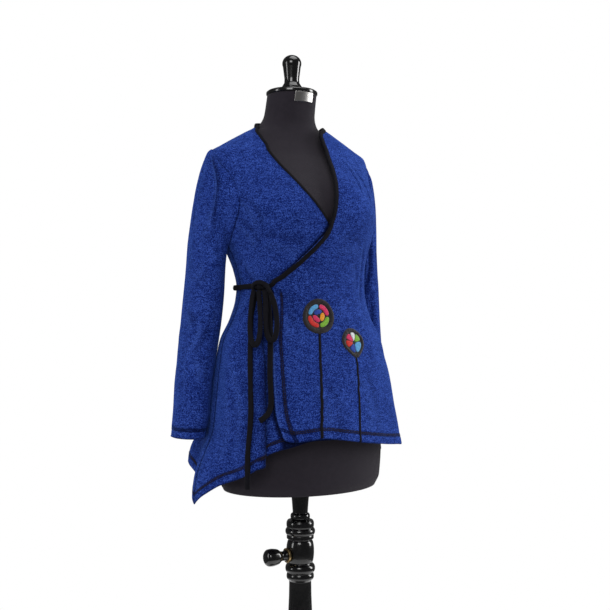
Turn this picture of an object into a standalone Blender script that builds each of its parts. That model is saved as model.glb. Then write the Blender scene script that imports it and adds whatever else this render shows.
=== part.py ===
"""A wrap sweatshirt of heather knit, worn by a limbless dress form on a turned stand.

Metres, +Z up, floor at z = 0, the post on the Z axis. The wearer faces -Y, so the wearer's
left is +X. Angles round the body are degrees from the front, positive towards +X.
"""
import math
import bpy
import bmesh
from mathutils import Matrix, Vector


def named(columns, *rows):
    """A table whose rows are read by the names of its columns."""
    return [dict(zip(columns.split(), row)) for row in rows]


# Cloth
WALL = 0.002
SEAM_ANGLE = 0.20
SLEEVE_GAP = 0.0006
SLEEVE_STEP = 0.0025
LAY_GAP = 0.0008
SEAT_GAP = 0.0003
BAND_WIDTH = 0.011
BAND_WALL = 0.0012
BAND_GAP = 0.0012
BEND_LIFT = 0.0019
FLAP_LIFT_TOP = 0.0048
FLAP_LIFT_HEM = 0.0070

# Heights of the garment
HEM_LEVEL = 0.748
STRETCH_TOP = 0.930
WAIST = 1.035
ARMPIT = 1.115
SHOULDER_TIP = 1.302
NECK_POINT = 1.360
BACK_NECK = 1.376

# The outer face of the cloth round the body: height, half width, how far forward the front
# lies, how far back the back, and how far back the widest place
CLOTH = named(
    "height width front back side",
    (0.600, 0.2080, 0.190, 0.190, 0.000),
    (0.715, 0.1980, 0.170, 0.170, 0.000),
    (0.748, 0.1930, 0.163, 0.163, 0.000),
    (0.800, 0.1870, 0.150, 0.150, 0.000),
    (0.889, 0.1770, 0.127, 0.127, 0.000),
    (0.930, 0.1700, 0.115, 0.115, 0.000),
    (0.975, 0.1475, 0.102, 0.104, 0.001),
    (1.010, 0.1350, 0.097, 0.100, 0.002),
    (1.035, 0.1320, 0.096, 0.100, 0.003),
    (1.068, 0.1360, 0.097, 0.111, 0.008),
    (1.095, 0.1430, 0.100, 0.122, 0.014),
    (1.115, 0.1500, 0.103, 0.126, 0.020),
    (1.140, 0.1600, 0.106, 0.127, 0.028),
    (1.170, 0.1700, 0.106, 0.128, 0.037),
    (1.200, 0.1760, 0.100, 0.130, 0.043),
    (1.230, 0.1785, 0.088, 0.131, 0.046),
    (1.260, 0.1795, 0.067, 0.131, 0.047),
    (1.285, 0.1780, 0.046, 0.130, 0.048),
    (1.300, 0.1730, 0.034, 0.129, 0.049),
    (1.315, 0.1490, 0.025, 0.126, 0.050),
    (1.330, 0.1230, 0.018, 0.122, 0.051),
    (1.345, 0.0960, 0.011, 0.117, 0.052),
    (1.360, 0.0705, 0.006, 0.112, 0.053),
    (1.376, 0.0640, 0.004, 0.109, 0.053),
)

# The dress form, in the same terms
FORM = named(
    "height width front back side",
    (0.640, 0.1600, 0.120, 0.120, 0.000),
    (0.660, 0.1690, 0.129, 0.129, 0.000),
    (0.720, 0.1730, 0.131, 0.134, 0.000),
    (0.800, 0.1700, 0.126, 0.134, 0.000),
    (0.900, 0.1570, 0.110, 0.112, 0.000),
    (0.975, 0.1370, 0.092, 0.094, 0.001),
    (1.035, 0.1240, 0.087, 0.090, 0.003),
    (1.068, 0.1280, 0.089, 0.101, 0.008),
    (1.095, 0.1345, 0.092, 0.113, 0.014),
    (1.115, 0.1410, 0.095, 0.118, 0.020),
    (1.140, 0.1500, 0.098, 0.119, 0.028),
    (1.170, 0.1600, 0.098, 0.120, 0.037),
    (1.200, 0.1665, 0.092, 0.122, 0.043),
    (1.230, 0.1690, 0.080, 0.123, 0.046),
    (1.260, 0.1680, 0.058, 0.123, 0.047),
    (1.285, 0.1680, 0.036, 0.122, 0.048),
    (1.300, 0.1640, 0.023, 0.121, 0.049),
    (1.315, 0.1435, 0.014, 0.118, 0.050),
    (1.330, 0.1170, 0.007, 0.114, 0.051),
    (1.345, 0.0893, 0.003, 0.109, 0.051),
    (1.360, 0.0636, 0.001, 0.104, 0.051),
    (1.385, 0.0520, 0.006, 0.094, 0.044),
    (1.424, 0.0500, 0.016, 0.084, 0.034),
)

# The bust stands forward of both
BUST_SIDE = 0.078
BUST_HEIGHT = 1.185
BUST_RISE = 0.024
BUST_SPREAD = 0.042

# Free edge of the outer, left front and of the right front under it: height, angle
LEFT_EDGE = named(
    "height angle",
    (0.748, -35.0),
    (0.770, -37.7),
    (0.792, -39.5),
    (0.814, -40.3),
    (0.925, -41.5),
    (1.020, -46.0),
    (1.042, -48.5),
    (1.059, -37.4),
    (1.089, -21.8),
    (1.120, -9.3),
    (1.148, -1.1),
    (1.179, 3.2),
    (1.226, 7.6),
    (1.260, 10.6),
    (1.300, 13.5),
    (1.330, 18.0),
    (1.343, 25.0),
    (1.352, 50.0),
    (1.360, 82.0),
)
RIGHT_EDGE = named(
    "height angle",
    (0.748, 50.0),
    (1.042, 48.0),
    (1.059, 38.0),
    (1.089, 24.0),
    (1.120, 12.0),
    (1.148, 4.0),
    (1.168, -2.1),
    (1.187, -8.3),
    (1.224, -18.1),
    (1.264, -23.6),
    (1.303, -29.3),
    (1.330, -44.0),
    (1.345, -61.0),
    (1.360, -84.0),
)

# Height of each hem round the body: angle, height
LEFT_HEM = named(
    "angle height",
    (-36.0, 0.753),
    (-30.0, 0.747),
    (-13.0, 0.7515),
    (4.0, 0.745),
    (22.0, 0.736),
    (50.0, 0.723),
    (66.0, 0.716),
    (90.0, 0.710),
)
RIGHT_HEM = named(
    "angle height",
    (-90.0, 0.622),
    (-80.0, 0.648),
    (-73.0, 0.664),
    (-58.0, 0.684),
    (-49.5, 0.699),
    (-44.5, 0.724),
    (-40.0, 0.731),
    (-32.0, 0.738),
    (-17.0, 0.7495),
    (50.0, 0.752),
)
BACK_HEM = named(
    "angle height",
    (90.0, 0.698),
    (110.0, 0.690),
    (140.0, 0.696),
    (180.0, 0.700),
    (215.0, 0.695),
    (236.0, 0.686),
    (254.0, 0.656),
    (270.0, 0.622),
)

# Folds of the flared skirt: angle, spread in degrees, rise, heights where it starts and is full
FOLDS = named(
    "angle spread rise start full",
    (-90.0, 14.0, 0.026, 0.775, 0.655),
    (-66.0, 8.0, -0.006, 0.900, 0.700),
    (-16.0, 8.0, 0.005, 0.900, 0.750),
    (14.0, 9.0, -0.005, 0.880, 0.750),
    (36.0, 8.0, -0.004, 0.900, 0.750),
    (58.0, 12.0, 0.006, 0.940, 0.760),
    (84.0, 9.0, -0.006, 0.930, 0.750),
    (112.0, 9.0, -0.010, 0.940, 0.750),
    (138.0, 9.0, 0.012, 0.960, 0.720),
    (163.0, 9.0, -0.008, 0.940, 0.720),
    (188.0, 9.0, 0.011, 0.970, 0.720),
    (212.0, 8.0, -0.010, 0.930, 0.720),
    (237.0, 9.0, 0.030, 0.800, 0.700),
)

# The deep fold that the right front is laid in below the tie
PLEAT_ANGLE = -47.0
PLEAT_HALF = 3.0
PLEAT_OVERHANG = 4.2
PLEAT_RISE = 0.012
PLEAT_STEPS = 8
PLEAT_FULL = 0.880
PLEAT_START = 1.000

# Armhole: how far it cuts into the front and the back, degrees, and the sleeve's corners
ARM_CUT_FRONT = 30.0
ARM_CUT_BACK = 25.0
ARM_STEPS = 18

# Sleeve from the shoulder to the cuff: outer and inner line, middle and half depth, and how
# much of the ring still follows the armhole
SLEEVE = named(
    "outer outer_height inner inner_height middle depth armhole",
    (0.1760, 1.302, 0.1510, 1.1130, 0.034, 0.0520, 0.85),
    (0.1820, 1.287, 0.1510, 1.1090, 0.040, 0.0520, 0.50),
    (0.1890, 1.262, 0.1510, 1.1040, 0.046, 0.0520, 0.18),
    (0.1970, 1.225, 0.1500, 1.0970, 0.050, 0.0520, 0.0),
    (0.2035, 1.180, 0.1490, 1.0870, 0.054, 0.0520, 0.0),
    (0.2085, 1.130, 0.1485, 1.0720, 0.057, 0.0515, 0.0),
    (0.2120, 1.080, 0.1490, 1.0480, 0.058, 0.0515, 0.0),
    (0.2175, 1.030, 0.1510, 1.0180, 0.058, 0.0520, 0.0),
    (0.2245, 0.970, 0.1565, 0.9700, 0.058, 0.0515, 0.0),
    (0.2310, 0.915, 0.1660, 0.9150, 0.057, 0.0500, 0.0),
    (0.2400, 0.850, 0.1780, 0.8500, 0.053, 0.0480, 0.0),
    (0.2460, 0.795, 0.1860, 0.7950, 0.047, 0.0450, 0.0),
    (0.2530, 0.746, 0.1950, 0.7460, 0.043, 0.0430, 0.0),
)
SLEEVE_SWAY = {-1: (0.000, 0.000), 1: (-0.003, 0.022)}

# Grid of the panels
SKIRT_ROWS = (0.748, 0.790, 0.835, 0.880, 0.930, 0.975, 1.010, 1.035, 1.043, 1.059, 1.076, 1.096)
SHOULDER_ROWS = (1.315, 1.330, 1.345, 1.353, 1.360)
BACK_COLUMNS = 21
LEFT_COLUMNS = 15
RIGHT_SIDE_COLUMNS = 5
RIGHT_FRONT_COLUMNS = 8

# Round flower and bud: where they are, their size, how far the lower end narrows to a point,
# and the foot of the stem
FLOWERS = named(
    "name angle height half_width half_height point stem_angle stem_foot",
    ("flower_round", -8.0, 0.9780, 0.0315, 0.0335, 0.0, -14.8, 0.7550),
    ("flower_bud", 17.0, 0.9260, 0.0270, 0.0270, 0.5, 10.8, 0.7480),
)
PATCH_WALL = 0.0012
STEM_WIDTH = 0.005
STEM_GAP = 0.0006
RIM_STEPS = 20
RIM_INNER = 0.74
PETAL_STEPS = 4

# Petals: turn where each starts and ends, the inner and outer share of the reach, colour
ROUND_PETALS = named(
    "start end inner outer colour",
    (5.0, 85.0, 0.42, 0.70, "green"),
    (91.0, 175.0, 0.42, 0.70, "rose"),
    (181.0, 262.0, 0.42, 0.70, "sky"),
    (268.0, 359.0, 0.42, 0.70, "red"),
    (20.0, 130.0, 0.10, 0.38, "amber"),
    (137.0, 250.0, 0.10, 0.38, "navy"),
    (257.0, 373.0, 0.10, 0.38, "rose"),
)
BUD_PETALS = named(
    "start end inner outer colour",
    (100.0, 152.0, 0.12, 0.70, "green"),
    (156.0, 196.0, 0.12, 0.70, "white"),
    (200.0, 248.0, 0.12, 0.70, "rose"),
    (252.0, 300.0, 0.12, 0.70, "red"),
    (304.0, 360.0, 0.12, 0.70, "navy"),
    (4.0, 96.0, 0.12, 0.70, "sky"),
)

# Lowest row of the right binding, which ends under the outer front
RIGHT_BAND_END = 1.156

# Tie: a flat jersey tube
TIE_RADIUS = 0.0047
TIE_GAP = 0.0010
TIE_SPACING = 0.020
LOOP_SPACING = 0.012
KNOT_ANGLE = -58.2
KNOT_HEIGHT = 1.036
KNOT_LENGTH = 0.037
KNOT_TALL = 0.019
KNOT_DEEP = 0.020

# The tie's strand round the waist, from the knot past the back to the left side seam: angle,
# height
WAIST_STRAND = named(
    "angle height",
    (-268.0, 1.034),
    (-180.0, 1.033),
    (-90.0, 1.034),
    (-67.2, 1.036),
)
WAIST_STEPS = 21

# The tie's two loops, which hang in front, and its two tails: points on each middle line
LOOPS = {
    "tie_loop_left": (
        (-0.1313, -0.0521, 1.0279),
        (-0.1370, -0.0540, 1.0038),
        (-0.1459, -0.0648, 0.9719),
        (-0.1525, -0.0790, 0.9462),
        (-0.1529, -0.0874, 0.9316),
        (-0.1493, -0.0929, 0.9262),
        (-0.1441, -0.0945, 0.9335),
        (-0.1373, -0.0888, 0.9518),
        (-0.1306, -0.0772, 0.9757),
        (-0.1267, -0.0673, 1.0019),
        (-0.1252, -0.0608, 1.0270),
    ),
    "tie_loop_right": (
        (-0.1174, -0.0686, 1.0282),
        (-0.1185, -0.0755, 1.0019),
        (-0.1237, -0.0853, 0.9720),
        (-0.1266, -0.0947, 0.9499),
        (-0.1260, -0.1026, 0.9381),
        (-0.1213, -0.1066, 0.9350),
        (-0.1154, -0.1074, 0.9408),
        (-0.1099, -0.1035, 0.9573),
        (-0.1068, -0.0968, 0.9776),
        (-0.1075, -0.0894, 1.0019),
        (-0.1115, -0.0822, 1.0215),
    ),
}
TAILS = {
    "tie_tail_long": (
        (-0.1223, -0.0481, 1.0255),
        (-0.1294, -0.0472, 1.0019),
        (-0.1387, -0.0549, 0.9718),
        (-0.1525, -0.0785, 0.9183),
        (-0.1599, -0.0938, 0.8529),
        (-0.1629, -0.1013, 0.8059),
        (-0.1670, -0.1052, 0.7718),
        (-0.1724, -0.1079, 0.7324),
        (-0.1749, -0.1116, 0.7040),
        (-0.1753, -0.1122, 0.6850),
        (-0.1753, -0.1122, 0.6650),
    ),
    "tie_tail_short": (
        (-0.1095, -0.0627, 1.0265),
        (-0.1094, -0.0720, 0.9944),
        (-0.1158, -0.0891, 0.9534),
        (-0.1215, -0.0997, 0.9166),
        (-0.1270, -0.1086, 0.8692),
        (-0.1290, -0.1155, 0.8366),
        (-0.1297, -0.1167, 0.8166),
        (-0.1360, -0.1201, 0.8026),
        (-0.1461, -0.1227, 0.7952),
        (-0.1530, -0.1178, 0.7887),
    ),
}

# Neck, cap and finial of the form
NECK_AXIS_Y = 0.034
CAP_RADIUS = 0.052
CAP_BOTTOM = 1.4240
CAP_TOP = 1.433
FINIAL_TOP = 1.507
PLATE_WIDTH = 0.042
PLATE_HEIGHT = 0.019
PLATE_WALL = 0.0012
PLATE_MIDDLE = 1.4145
PLATE_ANGLE = 3.0

# Stand
BASE_RADIUS = 0.185
POLE_RADIUS = 0.0110
BORE_GAP = 0.0003
BORE_BOTTOM = 0.120
POLE_BOTTOM = 0.130
STAND_TOP = 0.5705
COLLAR_BOTTOM = 0.5708
NECK_TOP = 0.6397
SCREW_HEIGHT = 0.503
SCREW_SPOT = 0.0280
TURN_STEPS = 20


def clear_scene():
    """Start from an empty scene."""
    for item in list(bpy.data.objects):
        bpy.data.objects.remove(item, do_unlink=True)


def make_material(name, colour, roughness, metallic=0.0):
    """A Principled material of one colour."""
    material = bpy.data.materials.new(name)
    material.use_nodes = True
    shader = material.node_tree.nodes["Principled BSDF"]
    shader.inputs["Base Color"].default_value = (*colour, 1.0)
    shader.inputs["Roughness"].default_value = roughness
    shader.inputs["Metallic"].default_value = metallic
    return material


def smooth_value(table, along, column, place):
    """Read a table's column at a place along another, on a curve that never overshoots."""
    xs = [row[along] for row in table]
    ys = [row[column] for row in table]
    place = min(max(place, xs[0]), xs[-1])
    slopes = []
    for i in range(len(xs) - 1):
        slopes.append((ys[i + 1] - ys[i]) / (xs[i + 1] - xs[i]))
    turns = [slopes[0]]
    for before, after in zip(slopes, slopes[1:]):
        same_way = before * after > 0
        turns.append(2 * before * after / (before + after) if same_way else 0.0)
    turns.append(slopes[-1])
    i = 0
    while i < len(xs) - 2 and place > xs[i + 1]:
        i += 1
    step = xs[i + 1] - xs[i]
    t = (place - xs[i]) / step
    rise = t * t * (3 - 2 * t)
    value = ys[i] + (ys[i + 1] - ys[i]) * rise
    value += step * t * (1 - t) * ((1 - t) * turns[i] - t * turns[i + 1])
    return value


def ease(value):
    """Smooth step from 0 to 1."""
    value = min(max(value, 0.0), 1.0)
    return value * value * (3 - 2 * value)


def section_point(table, angle, height):
    """A point on a body given by its table of sections."""
    width = smooth_value(table, "height", "width", height)
    front = smooth_value(table, "height", "front", height)
    back = smooth_value(table, "height", "back", height)
    side = smooth_value(table, "height", "side", height)
    turn = math.radians(angle)
    x = width * math.sin(turn)
    reach = side + front if math.cos(turn) > 0 else back - side
    y = side - reach * math.cos(turn)
    facing = ease(math.cos(turn) / 0.5)
    away = (abs(x) - BUST_SIDE) ** 2 + (height - BUST_HEIGHT) ** 2
    y -= BUST_RISE * facing * math.exp(-away / (2 * BUST_SPREAD ** 2))
    return Vector((x, y, height))


def turned_apart(a, b):
    """Degrees between two directions round the body."""
    return (a - b + 180.0) % 360.0 - 180.0


def fold_rise(angle, height):
    """How far the skirt's folds stand off at this place."""
    total = 0.0
    for fold in FOLDS:
        growth = ease((fold["start"] - height) / (fold["start"] - fold["full"]))
        off_middle = turned_apart(angle, fold["angle"]) / fold["spread"]
        total += fold["rise"] * growth * math.exp(-off_middle ** 2)
    return total


def cloth_point(angle, height, lift=0.0):
    """A point on the cloth's outer face, or a lift above it."""
    width_way = 0.2
    tall_way = 0.001
    here = section_point(CLOTH, angle, height)
    across = section_point(CLOTH, angle + width_way, height) - section_point(CLOTH, angle - width_way, height)
    up = section_point(CLOTH, angle, height + tall_way) - section_point(CLOTH, angle, height - tall_way)
    normal = across.cross(up).normalized()
    return here + normal * (lift + fold_rise(angle, height))


def row_height(level, hem):
    """Rows of the skirt are stretched so that the lowest one lies on the hem."""
    if level >= STRETCH_TOP:
        return level
    share = (STRETCH_TOP - level) / (STRETCH_TOP - HEM_LEVEL)
    return STRETCH_TOP - share * (STRETCH_TOP - hem)


def armhole_angle(height, cut):
    """Where the armhole or the side seam crosses this height, degrees off the side."""
    share = (height - ARMPIT) / (SHOULDER_TIP - ARMPIT)
    if share <= 0 or share >= 1:
        return 0.0
    return cut * math.sin(math.pi * share) ** 0.8


def panel_rows():
    """Heights of the grid's rows, from the hem to the point of the neck."""
    rows = list(SKIRT_ROWS)
    arm_steps = ARM_STEPS // 2
    for k in range(arm_steps + 1):
        share = (1 - math.cos(math.pi * k / arm_steps)) / 2
        rows.append(ARMPIT + (SHOULDER_TIP - ARMPIT) * share)
    rows.extend(SHOULDER_ROWS)
    return rows


def add_object(name, mesh, material):
    """Put a finished mesh in the scene as a named piece."""
    mesh.materials.append(material)
    piece = bpy.data.objects.new(name, mesh)
    COLLECTION.objects.link(piece)
    mesh.shade_smooth()
    return piece


def add_wall(piece, wall):
    """Give an open surface its thickness, on its inner side."""
    solid = piece.modifiers.new("wall", "SOLIDIFY")
    solid.thickness = wall
    solid.offset = -1.0
    solid.use_even_offset = False


def make_sheet(name, columns, rows, place, wall, material, closed=False):
    """A grid of columns by rows, each point set by place(column, row), made a wall."""
    bm = bmesh.new()
    across = len(columns) - 1
    up = len(rows) - 1
    bmesh.ops.create_grid(bm, x_segments=across, y_segments=up, size=0.5)
    for vert in bm.verts:
        i = round((vert.co.x + 0.5) * across)
        j = round((vert.co.y + 0.5) * up)
        vert.co = place(columns[i], rows[j])
    if closed:
        bmesh.ops.remove_doubles(bm, verts=bm.verts, dist=0.00001)
    mesh = bpy.data.meshes.new(name)
    bm.to_mesh(mesh)
    bm.free()
    piece = add_object(name, mesh, material)
    add_wall(piece, wall)
    return piece


def spread(count):
    """Even shares from 0 to 1."""
    return [i / count for i in range(count + 1)]


def blend(a, b, share):
    """A value between two."""
    return a + (b - a) * share


def left_front_point(share, level, lift=0.0):
    """Outer front: share 0 at its free edge, 1 at the side seam, armhole and shoulder."""
    edge = smooth_value(LEFT_EDGE, "height", "angle", level)
    side = 90.0 - SEAM_ANGLE - armhole_angle(level, ARM_CUT_FRONT)
    angle = blend(edge, side, share)
    height = row_height(level, smooth_value(LEFT_HEM, "angle", "height", angle))
    low = ease((WAIST - height) / (WAIST - HEM_LEVEL))
    over = blend(FLAP_LIFT_TOP, FLAP_LIFT_HEM, low)
    over *= ease((side - angle) / 26.0)
    return cloth_point(angle, height, over + lift)


def right_front_point(share, level, lift=0.0):
    """Under front: share 0 at the side seam, 1 at its free edge under the outer front."""
    edge = smooth_value(RIGHT_EDGE, "height", "angle", level)
    side = -90.0 + SEAM_ANGLE + armhole_angle(level, ARM_CUT_FRONT)
    angle = blend(side, edge, share)
    height = row_height(level, smooth_value(RIGHT_HEM, "angle", "height", angle))
    laid = ease((PLEAT_START - level) / (PLEAT_START - PLEAT_FULL))
    across = (PLEAT_ANGLE - angle) / PLEAT_HALF
    rise = PLEAT_RISE * laid * ease((across + 0.6) / 1.2) * ease((angle + 90.0) / 22.0)
    if abs(across) < 1:
        overhang = PLEAT_OVERHANG * ease(2 * laid - 1)
        angle += overhang * math.sin(math.pi * across) * (1 - across * across)
    return cloth_point(angle, height, rise + lift)


def back_point(share, level, lift=0.0):
    """Back: share 0 at the left side seam, 1 at the right one."""
    first = 90.0 + SEAM_ANGLE + armhole_angle(level, ARM_CUT_BACK)
    last = 360.0 - first
    angle = blend(first, last, share)
    height = row_height(level, smooth_value(BACK_HEM, "angle", "height", angle))
    if level > SHOULDER_TIP:
        climb = (level - SHOULDER_TIP) / (NECK_POINT - SHOULDER_TIP)
        height += (BACK_NECK - NECK_POINT) * climb * math.sin(math.pi * share) ** 0.7
    return cloth_point(angle, height, lift)


def panel_surface(columns, rows, place):
    """The faceted face of a panel, to lay other pieces on: a function of share, level, lift."""
    points = [[place(column, row) for row in rows] for column in columns]
    normals = []
    for i in range(len(columns)):
        line = []
        for j in range(len(rows)):
            before, after = points[max(i - 1, 0)][j], points[min(i + 1, len(columns) - 1)][j]
            below, above = points[i][max(j - 1, 0)], points[i][min(j + 1, len(rows) - 1)]
            line.append((after - before).cross(above - below).normalized())
        normals.append(line)

    def cell(values, value):
        k = 0
        while k < len(values) - 2 and value > values[k + 1]:
            k += 1
        return k, (value - values[k]) / (values[k + 1] - values[k])

    def at(share, level, lift):
        i, s = cell(columns, share)
        j, t = cell(rows, level)
        point = points[i][j].lerp(points[i + 1][j], s).lerp(points[i][j + 1].lerp(points[i + 1][j + 1], s), t)
        low = normals[i][j].lerp(normals[i + 1][j], s)
        high = normals[i][j + 1].lerp(normals[i + 1][j + 1], s)
        return point + low.lerp(high, t).normalized() * lift
    return at


def right_front_columns():
    """Columns of the under front, close together where it is laid in its fold."""
    span = RIGHT_EDGE[0]["angle"] + 90.0
    start = (PLEAT_ANGLE - PLEAT_HALF + 90.0) / span
    end = (PLEAT_ANGLE + PLEAT_HALF + 90.0) / span
    columns = [start * share for share in spread(RIGHT_SIDE_COLUMNS)]
    columns += [blend(start, end, share) for share in spread(PLEAT_STEPS)[1:]]
    columns += [blend(end, 1.0, share) for share in spread(RIGHT_FRONT_COLUMNS)[1:]]
    return columns


def sleeve_point(side, turn, row):
    """A point on the sleeve: turn in degrees from the front, row 0 at the armhole."""
    around = math.radians(turn)
    reach = side * math.sin(around)
    height = (ARMPIT + SHOULDER_TIP) / 2 + (SHOULDER_TIP - ARMPIT) / 2 * reach
    if math.cos(around) > 0:
        off_front = 90.0 - armhole_angle(height, ARM_CUT_FRONT)
    else:
        off_front = 90.0 + armhole_angle(height, ARM_CUT_BACK)
    on_armhole = cloth_point(side * off_front, height)
    if row == 0:
        return on_armhole + Vector((side * SLEEVE_GAP, 0, 0))
    ring = SLEEVE[row - 1]
    sway_x, sway_y = SLEEVE_SWAY[side]
    hang = ease((ARMPIT - ring["inner_height"]) / (ARMPIT - SLEEVE[-1]["inner_height"]))
    centre_x = (ring["outer"] + ring["inner"]) / 2 + sway_x * hang
    centre_y = ring["middle"] + sway_y * hang
    across = (ring["outer"] - ring["inner"]) / 2
    down = (ring["outer_height"] - ring["inner_height"]) / 2
    on_tube = Vector((
        side * (centre_x + across * reach),
        centre_y - ring["depth"] * math.cos(around),
        (ring["outer_height"] + ring["inner_height"]) / 2 + down * reach,
    ))
    clear = abs(on_armhole.x) + SLEEVE_STEP * row
    on_armhole.x = side * clear
    if ring["armhole"] > 0:
        on_tube.x = side * max(clear, abs(on_tube.x))
    return on_tube.lerp(on_armhole, ring["armhole"])


def make_sleeve(side, name, material):
    """A tube from the cuff up to the armhole."""
    turns = [-90.0 + 360.0 * share for share in spread(ARM_STEPS)]
    rows = list(range(len(SLEEVE), -1, -1))
    return make_sheet(name, turns, rows, lambda turn, row: sleeve_point(side, turn, row), WALL, material, True)


def finer(levels):
    """The same levels with one more between each two."""
    more = []
    for low, high in zip(levels, levels[1:]):
        more += [low, (low + high) / 2]
    return more + [levels[-1]]


def make_band(name, on_panel, levels, free_share, material):
    """A binding on a front's free edge, made from the front's own points, moved out."""
    step = 0.04 if free_share == 0 else -0.04

    def place(across, level):
        edge = on_panel(free_share, level, 0.0)
        inward = on_panel(free_share + step, level, 0.0) - edge
        along = on_panel(free_share, level + 0.002, 0.0) - on_panel(free_share, level - 0.002, 0.0)
        lean = inward.cross(along).length / (inward.length * along.length)
        share = free_share + step * BAND_WIDTH * across / (inward.length * max(lean, 0.5))
        share = min(max(share, 0.02), 0.98) if across > 0 else share
        bent = BEND_LIFT * ease((level - SHOULDER_ROWS[1]) / (SHOULDER_ROWS[3] - SHOULDER_ROWS[1]))
        return on_panel(share, level, BAND_GAP + BAND_WALL + bent)
    columns = (0.0, 0.5, 1.0) if free_share == 0 else (1.0, 0.5, 0.0)
    return make_sheet(name, columns, levels, place, BAND_WALL, material)


def make_back_band(name, on_panel, material):
    """The binding round the back of the neck."""
    levels = (NECK_POINT - BAND_WIDTH, NECK_POINT - BAND_WIDTH / 2, NECK_POINT)
    shares = [0.04 + 0.92 * share for share in spread(BACK_COLUMNS)]

    def place(share, level):
        return on_panel(share, level, LAY_GAP + BAND_WALL)
    return make_sheet(name, shares, levels, place, BAND_WALL, material)


def spin_profile(name, profile, material, steps=TURN_STEPS):
    """A turned piece round the Z axis; the profile runs down its outer side."""
    mesh = bpy.data.meshes.new(name)
    bm = bmesh.new()
    verts = [bm.verts.new((radius, 0.0, height)) for radius, height in profile]
    for first, second in zip(verts, verts[1:]):
        bm.edges.new((first, second))
    bm.to_mesh(mesh)
    bm.free()
    piece = add_object(name, mesh, material)
    screw = piece.modifiers.new("turn", "SCREW")
    screw.axis = "Z"
    screw.steps = steps
    screw.render_steps = steps
    screw.use_merge_vertices = True
    screw.merge_threshold = 0.00001
    screw.use_smooth_shade = True
    return piece


def bead(radius, bulge, low, high, steps=4):
    """A rounded ring on a turned profile, from its top to its bottom."""
    points = []
    for i in range(steps + 1):
        turn = math.pi * i / steps
        points.append((radius + bulge * math.sin(turn), (low + high) / 2 + (high - low) / 2 * math.cos(turn)))
    return points


def make_form(material):
    """The form's closed body, as rings that follow its sections."""
    turns = [-90.0 + 360.0 * share for share in spread(28)]
    heights = [row["height"] for row in FORM]
    bm = bmesh.new()
    across = len(turns) - 1
    up = len(heights) - 1
    bmesh.ops.create_grid(bm, x_segments=across, y_segments=up, size=0.5)
    for vert in bm.verts:
        i = round((vert.co.x + 0.5) * across)
        j = round((vert.co.y + 0.5) * up)
        vert.co = section_point(FORM, turns[i], heights[j])
    bmesh.ops.remove_doubles(bm, verts=bm.verts, dist=0.00001)
    bmesh.ops.holes_fill(bm, edges=[edge for edge in bm.edges if edge.is_boundary], sides=0)
    bmesh.ops.recalc_face_normals(bm, faces=bm.faces)
    mesh = bpy.data.meshes.new("form_body")
    bm.to_mesh(mesh)
    bm.free()
    return add_object("form_body", mesh, material)


def make_cap(material):
    """The turned cap on the neck, and its finial in one piece with it."""
    profile = [(0.0, FINIAL_TOP - CAP_BOTTOM)]
    ball_low = 0.048
    ball_radius = 0.0195
    top = FINIAL_TOP - CAP_BOTTOM
    for i in range(1, 6):
        turn = math.pi * 0.62 * i / 5
        profile.append((ball_radius * math.sin(turn), ball_low + (top - ball_low) * (0.5 + 0.5 * math.cos(turn))))
    profile += [(0.0150, 0.034), (0.0155, 0.026), (0.0205, 0.018), (0.0210, 0.0125)]
    profile += [(CAP_RADIUS - 0.004, 0.0095), (CAP_RADIUS, 0.0065), (CAP_RADIUS, 0.0015)]
    profile += [(CAP_RADIUS - 0.002, SEAT_GAP), (0.0, SEAT_GAP)]
    axis = bpy.data.objects.new("form_axis", None)
    COLLECTION.objects.link(axis)
    piece = spin_profile("neck_cap", profile, material)
    piece.location = (0.0, NECK_AXIS_Y, CAP_BOTTOM)
    piece.parent = axis
    return piece


def make_plate(material):
    """The blank metal plate on the front of the neck."""
    half_turn = math.degrees(PLATE_WIDTH / 2 / 0.050)
    turns = [PLATE_ANGLE - half_turn + 2 * half_turn * share for share in spread(8)]
    heights = (PLATE_MIDDLE - PLATE_HEIGHT / 2, PLATE_MIDDLE + PLATE_HEIGHT / 2)

    def place(turn, height):
        point = section_point(FORM, turn, height)
        centre = Vector((0.0, (section_point(FORM, 0, height).y + section_point(FORM, 180, height).y) / 2, height))
        return point + (point - centre).normalized() * (LAY_GAP + PLATE_WALL)
    return make_sheet("name_plate", turns, heights, place, PLATE_WALL, material)


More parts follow.
